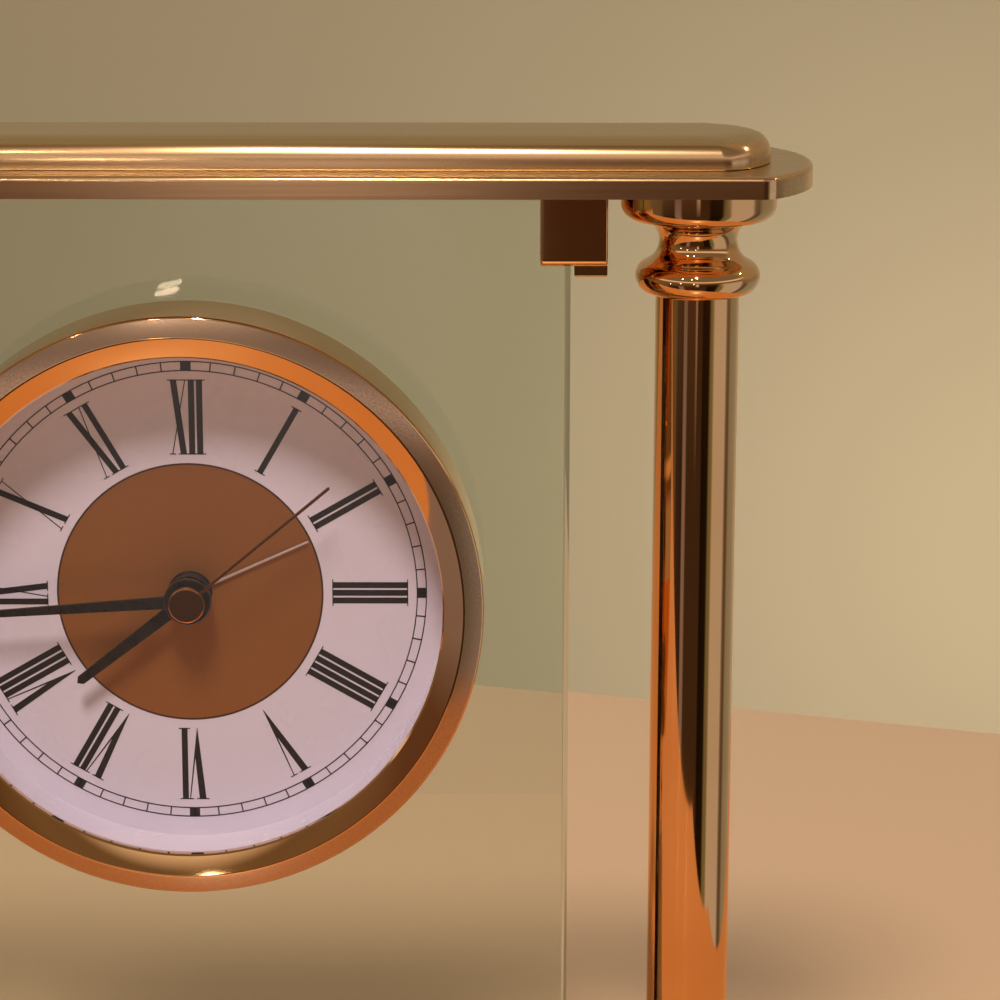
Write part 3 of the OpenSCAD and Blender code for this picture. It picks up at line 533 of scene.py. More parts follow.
def make_materials():
    """The finishes of the clock. Pattern scales are per metre: 1000 is a millimetre's grain."""
    return {
        # Polished brass, lacquered: a warm mirror, with the long soft waves of hand buffing
        "polished_brass": surface("polished lacquered brass", "#DDB27C", "#D6A870", (60, 60, 45),
            (0.04, 0.06), depth=2, metallic=1.0, Coat_Weight=0.25, Coat_Roughness=0.03),
        # Buffed brass of the plates' edges: lengthwise lines spread a lamp into a long soft streak
        "buffed_brass": surface("buffed lacquered brass", "#DDBA8E", "#CFA87C", (14, 1500, 1500),
            (0.15, 0.2), metallic=1.0, detail=3.0, Anisotropic=0.8, Anisotropic_Rotation=0.25),
        # Satin brass: brushed along the plates, so lights stretch into soft bands across the grain
        "satin_brass": surface("satin brushed brass", "#CDB88F", "#C3AC82", (12, 1800, 1800),
            (0.24, 0.3), depth=0.8, metallic=1.0, detail=3.0),
        # Blasted brass: a fine grain of about 0.25 mm that dulls the bezel's outer slope
        "grained_brass": surface("fine blasted brass", "#BC9E86", "#AC8E76", 3800, (0.2, 0.25),
            depth=6, metallic=1.0),
        # Zinc plated steel of screws, nuts and rods: grey with a cool clouding
        "zinc_steel": surface("zinc plated steel", "#B8BCC2", "#9DA1A6", 900, (0.28, 0.42),
            depth=8, metallic=1.0),
        # Drawn brass of wheels and arbors: yellow, with fine lines along the arbor
        "drawn_brass": surface("drawn brass", "#D9B46A", "#C79E55", (400, 400, 3000),
            (0.22, 0.32), depth=6, metallic=1.0),
        # Rolled silicon iron laminations: dull grey, with faint lines of the rolls
        "stator_iron": surface("rolled stator iron", "#8B8C90", "#77787C", (300, 2500, 2500),
            (0.35, 0.5), depth=6, metallic=1.0),
        # Enamelled copper wire: turns 0.1 mm apart, drawn at 0.25 mm to show
        "copper_wire": surface("enamelled copper wire", "#B5692F", "#8E4A1C", (300, 300, 4000),
            (0.25, 0.35), depth=40, metallic=0.9),
        # Shrunk battery sleeve, left plain: thin satin film in a blue grey
        "battery_sleeve": surface("shrink printed sleeve", "#6C7F8F", "#657787", 600,
            (0.28, 0.36), depth=6),
        # Moulded polystyrene: warm white with a soft sheen and faint flow marks
        "white_plastic": surface("moulded white polystyrene", "#F1EAE2", "#E9E1D8", 300,
            (0.3, 0.42), depth=8),
        # Moulded ABS from an etched tool: near black, broken by a fine even texture
        "black_plastic": surface("textured black ABS", "#1B1B1E", "#242428", 2500, (0.42, 0.58),
            depth=20),
        # Moulded acetal: waxy off-white
        "gear_plastic": surface("moulded acetal", "#E9E3D3", "#DDD6C4", 400, (0.35, 0.45),
            depth=6),
        # Glass epoxy laminate under solder mask: green, with a trace of the cloth's weave
        "green_laminate": surface("green glass epoxy laminate", "#1E6B3C", "#185A32", 2500,
            (0.3, 0.4), depth=10),
        # Moulded rubber: matt black
        "black_rubber": surface("black moulded rubber", "#1C1C1D", "#262627", 1500, (0.6, 0.75),
            depth=20),
        # Soft vinyl: milky and clear enough to show the brass behind it
        "soft_vinyl": surface("clear soft vinyl", "#DDE1D6", "#D2D7CA", 500, (0.25, 0.35),
            depth=10, Transmission_Weight=0.6, IOR=1.5),
        # Pressed wool: no gloss, tangled fibres and a pale sheen at a low angle
        "felt": surface("pressed wool felt", "#1F3A2B", "#2C4B39", 1600, (0.9, 1.0), depth=250,
            detail=4.0, Sheen_Weight=0.5, Sheen_Roughness=0.6),
        # Dial under gloss lacquer: a faintly pink white that mirrors the bezel softly
        "white_dial": surface("lacquered white dial", "#EADCE4", "#E6D8DF", 120, (0.22, 0.3),
            depth=4, Coat_Weight=0.6, Coat_Roughness=0.05),
        # Bronze ink with metal flakes: brown, and lighter towards the lamp
        "tan_print": surface("glossy bronze print", "#A86D3A", "#A06734", 25, (0.42, 0.48),
            metallic=0.5, Coat_Weight=0.5, Coat_Roughness=0.05),
        # Flat inks of the disc's outline and of the numerals
        "brown_print": surface("brown print", "#4A2C18", "#41250F", 400, (0.3, 0.4)),
        "black_print": surface("black print", "#222122", "#1B1A1B", 900, (0.3, 0.42),
            Coat_Weight=0.4, Coat_Roughness=0.06),
        # Stamped brass in gloss black lacquer: dark, with one bright line along each edge
        "black_hands": surface("black lacquered brass", "#171513", "#1F1C19", 700, (0.25, 0.35),
            depth=6, Coat_Weight=0.5, Coat_Roughness=0.08),
        # Bronzed brass of the second hand and its cap: a reddish mirror, a little soft
        "bronze_hand": surface("bronzed brass", "#B08058", "#A4764E", 300, (0.14, 0.18),
            metallic=1.0),
        # The thin hand close to the disc, in pale lacquer: its pale colour is a painted highlight,
        # for the light line along its upper edge
        "pale_lacquer_painted_highlight": surface("pale lacquered steel, painted highlight", "#D2BCB0", "#C8B1A5", 300, (0.26, 0.32),
            metallic=0.25, Coat_Weight=0.3, Coat_Roughness=0.1),
        # Float glass, green through its edge, and the clear crystal over the dial
        "tinted_glass": glass("float glass", "#E6F1EC", 1.52),
        "clear_glass": glass("mineral crystal", "#FBFCFA", 1.5),
    }


def glass(name, code, ior):
    """Clear glass, with a roughness that only a very low light would find."""
    material, tree, shader = new_material(name)
    haze = spread(tree, spots(tree, 80), 0.0, 0.006)
    tree.links.new(haze, shader.inputs["Roughness"])
    shader.inputs["Base Color"].default_value = colour(code)
    shader.inputs["Transmission Weight"].default_value = 1.0
    shader.inputs["IOR"].default_value = ior
    return material


# Plates
def plate_outline(size):
    """Half an outline and its mirror: long edges, small corner arcs and bowed ends."""
    length, depth, bow, corner = size
    high = depth / 2 - corner
    run = math.sqrt((bow - corner) ** 2 - high ** 2)
    corner_x = length / 2 - bow + run
    swing = math.degrees(math.atan2(high, run))
    end = (arc(corner_x, -high, corner, -90, -swing)
           + arc(length / 2 - bow, 0, bow, -swing, swing, 3 * ARC)[1:]
           + arc(corner_x, high, corner, swing, 90)[1:])
    return end + [(-x, y) for x, y in reversed(end)]


def slab(name, size, z, thickness, upper, lower):
    """A plate with its upper and lower rims rounded."""
    outline = [(x, y, z) for x, y in plate_outline(size)]
    piece = sheet(name, outline, (0, 0, thickness))
    for level, radius in ((z + thickness, upper), (z, lower)):
        if radius:
            bevel_edges(piece, level_at(level), radius, 8 if radius > 1 else 4)
    level_shading(piece)
    return piece


def cap_profile():
    """Inset and height up the cap: an upright polished side, an arris and a soft shoulder."""
    inward, upward = CAP_SIDE
    turns = [math.radians(a) for a in CAP_SIDE_TURNS]
    side = [(inward * (1 - math.cos(a)), CAP_SIDE_Z + upward * math.sin(a)) for a in turns]
    return side + CAP_SHOULDER


def make_cap():
    """The cap, drawn up ring by ring from its foot, each ring a little smaller."""
    length, depth = CAP[:2]
    outline = [(x, y, CAP_Z + CAP_JOINT) for x, y in plate_outline(CAP)]
    piece = sheet("cap_slab", outline, (0, 0, CAP_FOOT - CAP_JOINT))
    bevel_edges(piece, level_at(CAP_Z + CAP_JOINT), CAP_FOOT_ROUND, 2)
    deselect_mesh(piece, "FACE")
    for face in piece.data.polygons:
        face.select = face.normal.z > 0.9
    bpy.ops.object.mode_set(mode="EDIT")
    before = (0.0, CAP_Z + CAP_FOOT)
    for inset, z in cap_profile():
        extrude((0, 0, z - before[1]))
        scale = [(side - 2 * inset) / (side - 2 * before[0]) for side in (length, depth)]
        bpy.ops.transform.resize(value=(scale[0], scale[1], 1), center_override=(0, 0, 0))
        before = (inset, z)
    close_mesh()
    tidy_mesh(piece)
    level_shading(piece, 12)
    finish_piece(piece, "satin_brass", "top_cap", looks=["buffed_brass", "satin_brass"])
    for face in piece.data.polygons:
        face.material_index = int(face.center.z / MM > SATIN_Z)


def make_plates():
    """Felt, plinth and the two plates, whose tops are brushed and whose edges are buffed."""
    felt = slab("felt_sheet", FELT, 0, PLINTH_Z, FELT_ROUND, 0)
    finish_piece(felt, "felt", "felt_pad")
    plinth = slab("plinth_slab", PLINTH, PLINTH_Z, BASE_Z - PLINTH_Z, *PLINTH_ROUND)
    finish_piece(plinth, "satin_brass", "base_plinth")
    plate = slab("top_plate_slab", PLATE, CEILING_Z, PLATE_T, PLATE_ROUND, 0)
    lower = copied(plate, "base_plate_slab", (0, 0, BASE_Z - CEILING_Z))
    for piece, node_name in ((plate, "top_plate"), (lower, "base_plate")):
        finish_piece(piece, "polished_brass", node_name, looks=["buffed_brass", "satin_brass"])
        for face in piece.data.polygons:
            face.material_index = int(face.normal.z > 0.99)
    make_cap()


# Columns and capitals
def capital_profile():
    """Radius and height from the bead up, with the spigot hanging below zero."""
    cove_ring = NECK_R + COVE_R
    cove_z = BEAD_R + math.sqrt((COVE_R + BEAD_R) ** 2 - (cove_ring - BEAD_RING_R) ** 2)
    meeting = math.degrees(math.atan2(cove_z - BEAD_R, cove_ring - BEAD_RING_R))
    flange_z = cove_z + COVE_R
    top = flange_z + FLANGE_ROUND + FLANGE_H
    return ([(ROD_HOLE_R, -SPIGOT_L), (SPIGOT_R, -SPIGOT_L), (SPIGOT_R, 0)]
            + arc(BEAD_RING_R, BEAD_R, BEAD_R, -90, meeting, 2 * ARC)
            + arc(cove_ring, cove_z, COVE_R, meeting + 180, 90, 2 * ARC)[1:]
            + arc(FLANGE_R - FLANGE_ROUND, flange_z + FLANGE_ROUND, FLANGE_ROUND, -90, 0)
            + [(FLANGE_R, top - FLANGE_EASE), (FLANGE_R - FLANGE_EASE, top), (ROD_HOLE_R, top)])


def make_columns():
    """One capital and one tube, turned once and copied to the other places."""
    profile = capital_profile()
    height = profile[-1][1]
    upper = turn_upright("capital", [(r, z + CEILING_Z - height) for r, z in profile], COLUMN_X)
    smooth(upper)
    low_z = FLOOR_Z + height
    high_z = CEILING_Z - height
    eased_r = TUBE_R - TUBE_EASE
    tube = turn_upright("column_tube", [
        (TUBE_R - TUBE_WALL, low_z), (eased_r, low_z), (TUBE_R, low_z + TUBE_EASE),
        (TUBE_R, high_z - TUBE_EASE), (eased_r, high_z), (TUBE_R - TUBE_WALL, high_z)], COLUMN_X)
    smooth(tube)
    lower = copied(upper, "capital_lower_right", flip=(2, MIDDLE_Z))
    left = (-2 * COLUMN_X, 0, 0)
    pieces = [(upper, "upper_capital_right"), (lower, "lower_capital_right"),
              (tube, "column_right"),
              (copied(upper, "capital_upper_left", left), "upper_capital_left"),
              (copied(lower, "capital_lower_left", left), "lower_capital_left"),
              (copied(tube, "column_tube_left", left), "column_left")]
    upper.name = "capital_upper_right"
    for piece, node_name in pieces:
        finish_piece(piece, "polished_brass", node_name)


# Clips
def box(name, low, high):
    """A block between two corners, to be shaped further."""
    size = Vector(high) - Vector(low)
    middle = (Vector(high) + Vector(low)) / 2
    bpy.ops.object.select_all(action="DESELECT")
    bpy.ops.mesh.primitive_cube_add(size=MM)
    piece = bpy.context.object
    piece.name = name
    open_mesh(piece)
    bpy.ops.transform.resize(value=size, center_override=(0, 0, 0))
    bpy.ops.transform.translate(value=middle * MM)
    close_mesh()
    return piece


def clip_flange(side):
    """One of a clip's two leaves, with its foot rounded and its sides bevelled."""
    outer = side * (CLIP_SLOT + CLIP_T)
    inner = side * CLIP_SLOT
    low = (CLIP_INNER_X, min(outer, inner), CEILING_Z - CLIP_H)
    high = (CLIP_OUTER_X, max(outer, inner), CEILING_Z)
    leaf = box("leaf", low, high)
    foot = CEILING_Z - CLIP_H
    bevel_edges(leaf, lambda a, b: abs(a.z - foot) + abs(b.z - foot)
                + abs(a.y - outer) + abs(b.y - outer) < NEAR, CLIP_ROUND, 8)
    bevel_edges(leaf, lambda a, b: abs(a.x - b.x) < NEAR
                and min(abs(a.x - CLIP_INNER_X), abs(a.x - CLIP_OUTER_X)) < NEAR
                and (abs(a.y - outer) + abs(b.y - outer) < 2 * CLIP_ROUND + NEAR)
                and abs(a.y - inner) > NEAR and abs(b.y - inner) > NEAR
                and a.z + b.z < 2 * CEILING_Z - NEAR, CLIP_EASE, 3)
    return leaf


def make_clips():
    """One clip, welded from a side block, a roof and two leaves, and its three mirror images."""
    block = box("block", (CLIP_SIDE_X, -CLIP_SLOT, CEILING_Z - CLIP_H - CLIP_DROP),
                (CLIP_OUTER_X, CLIP_SLOT, CEILING_Z))
    bevel_edges(block, lambda a, b: a.z + b.z < 2 * CEILING_Z - 2 * CLIP_H, BLOCK_EASE, 3)
    roof = box("roof", (CLIP_INNER_X, -CLIP_SLOT, CEILING_Z - CLIP_ROOF),
               (CLIP_SIDE_X, CLIP_SLOT, CEILING_Z))
    cut(block, roof, "UNION")
    cut(block, clip_flange(-1), "UNION")
    cut(block, clip_flange(1), "UNION")
    tidy_mesh(block)
    level_shading(block)
    lower = copied(block, "clip_lower_right_smooth", flip=(2, MIDDLE_Z))
    corners = [(block, "clip_upper_right"), (lower, "clip_lower_right"),
               (copied(block, "clip_upper_left_smooth", flip=(0, 0)), "clip_upper_left"),
               (copied(lower, "clip_lower_left_smooth", flip=(0, 0)), "clip_lower_left")]
    block.name = "clip_upper_right_smooth"
    for piece, node_name in corners:
        finish_piece(piece, "polished_brass", node_name)


# Insert
def make_insert():
    """Bezel, surround, dial and crystal."""
    rim = arc(BEZEL_R - RIM_ROUND, RIM_F - 0.35, RIM_ROUND, 0, 70, 9)
    crest = arc(CREST_R, CREST_F - CREST_ROUND - 0.04, CREST_ROUND, 70, 107, 6)
    bezel = turn_facing("bezel_ring", [(SKIRT_R, SKIRT_F), (BEZEL_R, SKIRT_F)] + rim + crest + [
        (LIP_R + 0.25, LIP_F + 0.05), (LIP_R, LIP_F - 0.2), (LIP_R, SEAT_F), (SKIRT_R, SEAT_F)])
    smooth(bezel, 12)
    finish_piece(bezel, "polished_brass", "bezel", looks=["polished_brass", "grained_brass"])
    for face in bezel.data.polygons:
        middle = face.center / MM
        r = math.hypot(middle.x, middle.z - DIAL_Z)
        on_slope = CREST_R + 0.3 < r < BEZEL_R - 0.3 and -middle.y > RIM_F
        face.material_index = int(on_slope)
    surround = turn_facing("surround_ring", [
        (LIP_R + 0.5, DIAL_F), (LIP_R + 1.7, DIAL_F), (LIP_R + 1.7, GLAZING_F - 1),
        (SKIRT_R - 0.1, GLAZING_F - 1), (SKIRT_R - 0.1, GLAZING_F), (LIP_R + 0.2, GLAZING_F)])
    smooth(surround)
    finish_piece(surround, "white_plastic", "dial_surround", looks=["white_dial"])
    disc = turn_facing("dial_disc", ring(BUSHING_R, DIAL_R, DIAL_BACK_F, DIAL_F))
    smooth(disc)
    finish_piece(disc, "white_dial", "dial")
    crystal = turn_facing("crystal_disc", ring(0, CRYSTAL_R, GLAZING_F, SEAT_F))
    smooth(crystal)
    finish_piece(crystal, "clear_glass", "crystal")
    # It passes light and mirrored rays as thin clean glass does
    crystal.visible_shadow = False
    crystal.visible_diffuse = False
    crystal.visible_glossy = False


def on_dial(points, angle, f=PRINT_F):
    """Points drawn upright at twelve, turned clockwise to their place on the dial."""
    a = math.radians(angle)
    return [(x * math.cos(a) + y * math.sin(a), -f, DIAL_Z - x * math.sin(a) + y * math.cos(a))
            for x, y in points]


def printed(points, angle):
    """A patch of ink, from its outline at twelve."""
    return sheet("ink", on_dial(points, angle), (0, PRINT_T, 0))


def printed_ring(inner, outer, height=PRINT_F):
    """A ring of ink round the dial's middle."""
    return turn_facing("ink", ring(inner, outer, RING_BACK_F, height))


def bar(foot_x, top_x, width, reach=NUMERAL_R):
    """A stroke, upright or leaning, from the middle of its two ends."""
    foot, top = reach
    return [(foot_x - width / 2, foot), (foot_x + width / 2, foot),
            (top_x + width / 2, top), (top_x - width / 2, top)]


def serif(left, right, y):
    """A hairline across the end of a stroke, inside the numeral's height."""
    inward = HAIR if y < sum(NUMERAL_R) / 2 else -HAIR
    return [(left, y), (right, y), (right, y + inward), (left, y + inward)]


def ones(count, x):
    """Upright strokes side by side from x, and where they end."""
    middles = [x + BAR_W / 2 + i * BAR_PITCH for i in range(count)]
    return [bar(m, m, BAR_W) for m in middles], x + count * BAR_PITCH - BAR_GAP


def five(x):
    """A V from x: a thick arm down to a point, and a hairline that leaves it part way up."""
    foot, top = NUMERAL_R
    notch = foot + 0.42 * (top - foot)
    outline = [(x + 1.22, foot), (x + 1.3, foot), (x + 2.6, top), (x + 2.6 - HAIR, top),
               (x + 1.62, notch), (x + 1.06, top), (x, top)]
    return [outline], (x - 0.45, x + 1.5), (x + 1.95, x + 3.1)


def ten(x):
    """An X from x: the thick stroke leans left at its top, the hairline leans right."""
    return [bar(x + 1.95, x + 0.5, 0.95), bar(x + 0.25, x + 2.3, HAIR)]


def numeral(hour):
    """The strokes of a numeral, upright about x = 0."""
    foot, top = NUMERAL_R
    if hour <= 4:
        half = (hour * BAR_PITCH - BAR_GAP) / 2
        strokes = ones(hour, -half)[0]
        return strokes + [serif(-half - SERIF, half + SERIF, y) for y in (foot, top)]
    if hour <= 8:
        count = hour - 5
        left = -(FIVE_W + count * BAR_PITCH) / 2 + 0.2
        strokes, first, second = five(left)
        if not count:
            return strokes + [serif(*first, top), serif(*second, top)]
        start = left + AFTER_LETTER
        bars, end = ones(count, start)
        return strokes + bars + [serif(*first, top), serif(second[0], end + SERIF, top),
                                 serif(start - SERIF, end + SERIF, foot)]
    if hour == 9:
        bars, end = ones(1, NINE_X)
        left = end + 0.1
        far = left + NINE_REACH + SERIF
        return bars + ten(left) + [serif(NINE_X - SERIF, far, top),
                                   serif(NINE_X - SERIF, end + 0.8, foot),
                                   serif(end + 1.2, far, foot)]
    count = hour - 10
    left = -(TEN_W + count * BAR_PITCH) / 2
    strokes = ten(left)
    bars, end = ones(count, left + AFTER_LETTER)
    if not count:
        end = left + TEN_W
    return strokes + bars + [serif(left - SERIF, end + SERIF, top),
                             serif(left - 0.2, left + 0.75, foot),
                             serif(left + 1.15, end + SERIF, foot)]


def make_print():
    """The minute track, the numerals and the bronze disc."""
    ink = [printed_ring(r - TRACK_LINE / 2, r + TRACK_LINE / 2) for r in TRACK_R]
    tick = printed(bar(0, 0, TICK_W, TRACK_R), 6)
    block = printed(bar(0, 0, BLOCK_W, TRACK_R), 0)
    repeat_round(tick, 60)
    repeat_round(block, 12)
    ink += [tick, block]
    for hour in range(1, 13):
        ink += [printed(stroke, hour * 30) for stroke in numeral(hour)]
    black = join(ink, "black_numerals")
    finish_piece(black, "black_hands", looks=["black_print"])
    tan = printed_ring(BUSHING_R + 0.01, DISC_R - DISC_LINE, DISC_F)
    tan.name = "tan_disc"
    finish_piece(tan, "bronze_hand", looks=["tan_print"])
    line = printed_ring(DISC_R - DISC_LINE, DISC_R)
    line.name = "disc_outline"
    finish_piece(line, "bronze_hand", looks=["brown_print"])


# Hands
def blade(name, angle, root, length, root_w, tip_w, f, thickness):
    """A flat hand that points at its angle, with its upper rim eased."""
    outline = [(-root_w / 2, root), (root_w / 2, root), (tip_w / 2, length - tip_w / 2),
               (0, length), (-tip_w / 2, length - tip_w / 2)]
    piece = sheet(name, on_dial(outline, angle, f), (0, -thickness, 0))
    front = -(f + thickness)
    bevel_edges(piece, lambda a, b: abs(a.y - front) + abs(b.y - front) < NEAR, BLADE_EASE, 2)
    return piece


def make_hands():
    """Three hands on their own bodies, and the thin fourth, which has no joint."""
    for body, slot, angle, size, hub in HANDS:
        f = size[4]
        middle = turn_facing("hub", [(r, f + rise) for r, rise in hub])
        hand = join([middle, blade("blade", angle, *size)], body + "_blade")
        level_shading(hand)
        finish_piece(hand, slot, body + "_hand", body=body)
    # The fourth hand's pale colour is a painted highlight along it
    alarm = blade("alarm_blade", ALARM_ANGLE, *ALARM_BLADE)
    level_shading(alarm)
    finish_piece(alarm, "bronze_hand", looks=["pale_lacquer_painted_highlight"])


# Back of the insert
def screw(profile, x, z, slot_reach):
    """A turned screw that faces backwards, with a cross recess in its head."""
    piece = turn_facing("screw", profile, x, z)
    back = -min(f for r, f in profile)
    for reach, half in ((slot_reach, RECESS_W / 2), (RECESS_W / 2, slot_reach)):
        cut(piece, box("slot", (x - reach, back - RECESS_DEPTH, z - half),
                       (x + reach, back + 1, z + half)))
    return piece


def make_screws():
    """Pan head screws: four through the movement's cover, two through its ears."""
    cover = [screw(COVER_SCREW, x, z, COVER_RECESS)
             for x in (-COVER_SCREW_X, COVER_SCREW_X) for z in COVER_SCREW_Z]
    ears = [screw(EAR_SCREW, x, DIAL_Z, EAR_RECESS) for x in (-EAR_SCREW_X, EAR_SCREW_X)]
    for pieces, node_name in ((cover, "cover_screws"), (ears, "movement_screws")):
        whole = join(pieces, node_name + "_pan")
        smooth(whole)
        finish_piece(whole, "zinc_steel", node_name)


def turn_across(name, profile, y, z):
    """A piece turned about a line along X, from a closed profile of (x, radius)."""
    points = [(x, y, z + r) for x, r in profile + profile[:1]]
    return turn(name, points, (0, y, z), (1, 0, 0))


def make_battery():
    """An AA cell: bare steel ends in a plain shrunk sleeve."""
    first, last = BATTERY_X
    shoulder = last - BATTERY_NUB
    cell = turn_across("battery_cell", [
        (first, 0), (first, 5.4), (first + 0.2, 6.0), (first + 0.5, 6.4), (shoulder - 0.5, 6.4),
        (shoulder - 0.2, 6.1), (shoulder, 5.6), (shoulder, 2.7), (last - 0.2, 2.7),
        (last, 2.5), (last, 0)], *BATTERY_AT)
    smooth(cell)
    finish_piece(cell, "zinc_steel", "battery")
    sleeve = turn_across("battery_sleeve", [
        (first + 0.15, 6.2), (first + 0.15, 6.8), (first + 0.4, BATTERY_R),
        (shoulder - 0.4, BATTERY_R), (shoulder - 0.15, 6.8), (shoulder - 0.15, 6.2)], *BATTERY_AT)
    smooth(sleeve)
    finish_piece(sleeve, "battery_sleeve", "battery")


def make_case():
    """The moulded case: a web behind the dial, a tube through the glass and two posts."""
    inner = TUBE_R_OUT - CASE_WALL
    eased_f = TUBE_BACK_F + CASE_EASE
    pieces = [turn_facing("tube", [
        (BUSHING_R + 0.1, DIAL_BACK_F), (BUSHING_R + 0.1, WEB_F), (inner, WEB_F),
        (inner, eased_f), (inner + CASE_EASE, TUBE_BACK_F), (TUBE_R_OUT - CASE_EASE, TUBE_BACK_F),
        (TUBE_R_OUT, eased_f), (TUBE_R_OUT, WEB_F), (DIAL_R + 0.4, WEB_F),
        (DIAL_R + 0.4, DIAL_BACK_F)])]
    for x in (-EAR_SCREW_X, EAR_SCREW_X):
        pieces.append(turn_facing("post", ring(*POST_R, POST_BACK_F, WEB_F + 0.1), x))
    case = join(pieces, "case_shell")
    smooth(case)
    finish_piece(case, "white_plastic", "case")


def make_clamp_ring():
    """The threaded ring at the back, with finger notches round its rear edge."""
    inner, outer = CLAMP_R
    front, back = CLAMP_F
    eased_f = back + CLAMP_EASE
    clamp = turn_facing("notched_ring", [
        (inner, front), (outer, front), (outer, eased_f), (outer - CLAMP_EASE, back),
        (inner + CLAMP_EASE, back), (inner, eased_f)])
    notch = turn_facing("notch", ring(0, NOTCH_R, *NOTCH_F), outer + 1)
    repeat_round(notch, NOTCHES)
    cut(clamp, notch)
    smooth(clamp, 28)
    finish_piece(clamp, "black_plastic", "clamp_ring")


# Solids whose packed form is kept, with their slots
KEPT = {
    "glass_panel": "tinted_glass", "clip_liners": "soft_vinyl", "gasket": "black_rubber",
    "movement_base": "black_plastic", "movement_cover": "black_plastic",
    "tie_rod_left": "zinc_steel", "tie_rod_right": "zinc_steel", "upper_nuts": "zinc_steel",
    "lower_nuts": "zinc_steel", "setting_knob": "black_plastic", "cap_screws": "zinc_steel",
    "plinth_screws": "zinc_steel", "clip_screws": "zinc_steel",
    "contact_positive": "zinc_steel", "contact_negative": "zinc_steel",
    "circuit_board": "green_laminate", "quartz_can": "zinc_steel", "stator": "stator_iron",
    "drive_coil": "copper_wire", "rotor": "stator_iron", "intermediate_wheel": "gear_plastic",
    "third_wheel": "gear_plastic", "seconds_wheel": "gear_plastic",
    "centre_wheel": "drawn_brass", "cannon_pinion": "drawn_brass",
    "motion_wheel": "gear_plastic", "hour_wheel": "gear_plastic",
}


def keep_solids():
    """Smoothed copies of the solids whose form needs nothing more."""
    for node_name, slot in KEPT.items():
        piece = solid_copy(node_name)
        finish_piece(piece, slot, node_name, body=NODES[node_name]["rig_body"])
        # The clear panel lets the lamps through to what stands behind it
        if node_name == "glass_panel":
            piece.visible_shadow = False


# Stage
def staged(piece, material):
    """Gives a piece of the stage its material."""
    piece.data.materials.clear()
    piece.data.materials.append(material)


def backdrop_material(name, code):
    """A flat painted sheet."""
    material, _, shader = new_material(name)
    shader.inputs["Base Color"].default_value = colour(code)
    shader.inputs["Roughness"].default_value = 0.9
    shader.inputs["Specular IOR Level"].default_value = 0.1
    return material


# What polished metal sees at the viewer's height, by degrees round from the left, past the
# viewer (0) and the right (90) to the wall behind (180) and the left again
ROOM = [
    (-90, "#8C7549"), (-81, "#8C7549"), (-77, "#70604C"), (-60, "#6E5E50"), (-56, "#43322A"),
    (-39, "#3A2A20"), (-37, "#92828A"), (-30, "#92828A"), (-27, "#473628"), (12, "#473628"),
    (15, "#1E150A"), (32, "#241B0C"), (36, "#7C7558"), (44, "#86806A"), (48, "#CBC2C0"),
    (84, "#C8C0C4"), (89, "#80736F"), (97, "#5E5040"), (106, "#9A978C"), (134, "#A09F92"),
    (146, "#BFA884"), (200, "#B5A184"), (216, "#9B8760"), (232, "#6B5B31"), (240, "#584B25"),
    (262, "#5C4C25"), (268, "#8C7549"), (270, "#8C7549")]
# A little higher, with a lit doorway behind the viewer
MIDDLE = [
    (-90, "#8C7549"), (-60, "#70604C"), (-25, "#6A4A3C"), (-7, "#6A4A3C"), (-4, "#F4E0DC"),
    (-1.3, "#F4E0DC"), (-0.6, "#4E2C1A"), (15, "#3E2416"), (34, "#3E2416"), (40, "#86806A"),
    (48, "#CBC2C0"), (84, "#C8C0C4"), (90, "#80736F"), (106, "#8E8672"), (134, "#94886E"),
    (146, "#A8946E"), (200, "#A8946E"), (232, "#6B5B31"), (262, "#5C4C25"), (270, "#8C7549")]
# And above the viewer, by the sine of the height, with the wall behind the clock
FRONT = [(0.0, "#8C7258"), (0.2, "#7A6450"), (0.26, "#FFEBE0"), (0.33, "#FFEBE0"),
         (0.38, "#84746A"), (0.7, "#887868"), (1.0, "#7E6C50")]
HIGH_WALL = "#A89478"
# The background that the camera sees past the wall and the floor
PALE = "#CDBFA4"
# Floor, with the edges cut from it as (place, way out). Metal mirrors a smaller table, which
# ends at its front, its right and the corner between them
FLOOR_SIDE = 700
FLOOR_BACK = 600
FLOOR_FRONT = -1500
FLOOR_Z_FAR = -0.2
REAR_EDGE = ((136.1, 262.7, 0), (0.31, 0.95, 0))
TABLE_FRONT = -216
TABLE_CORNER = ((157, -143, 0), (0.77, -0.64, 0))
TABLE_RIGHT = ((206, 0, 0), (1, 0, 0))
# The wall's left edge, as two points, and its length
WALL_EDGE = [(-2500, 1100, -900), (-2500, 1100, 1600)]
WALL_L = 5000
# Lights, as place and aim in metres, watts, size and colour
KEY = ((-0.13, -1.05, 1.75), (0, 0, 0.1), 28, 0.5, "#FFF4F8")
WALL_WASH = ((0.35, 0.75, -0.2), (0.16, 1.1, -0.14), 1.05, 0.2, "#F8F2FF")
LAMP_AIM = (0, 0, 0.1)
LAMP_REACH = 2.0
LAMP_SIZE = 0.07
LAMP_TONE = "#FFF0DC"
# Small lamps for highlights, as degrees round from the viewer, degrees up and watts
LAMPS = [(-2, 50, 14), (-32, 39, 0.7), (-12, 39, 0.7), (103, 37, 1.5), (-52, 3, 0.25),
         (-32, 9, 0.25), (-7, 9, 0.25)]


def floor_sheet(name, front, z, edges):
    """A sheet of floor from its front edge back, trimmed along lines of (place, outward)."""
    piece = draw(name, [(-FLOOR_SIDE, front, z), (-FLOOR_SIDE, FLOOR_BACK, z)])
    open_mesh(piece)
    extrude((2 * FLOOR_SIDE, 0, 0))
    for place, outward in edges:
        bpy.ops.mesh.select_all(action="SELECT")
        bpy.ops.mesh.bisect(plane_co=Vector(place) * MM, plane_no=outward, clear_outer=True)
    close_mesh()
    return piece


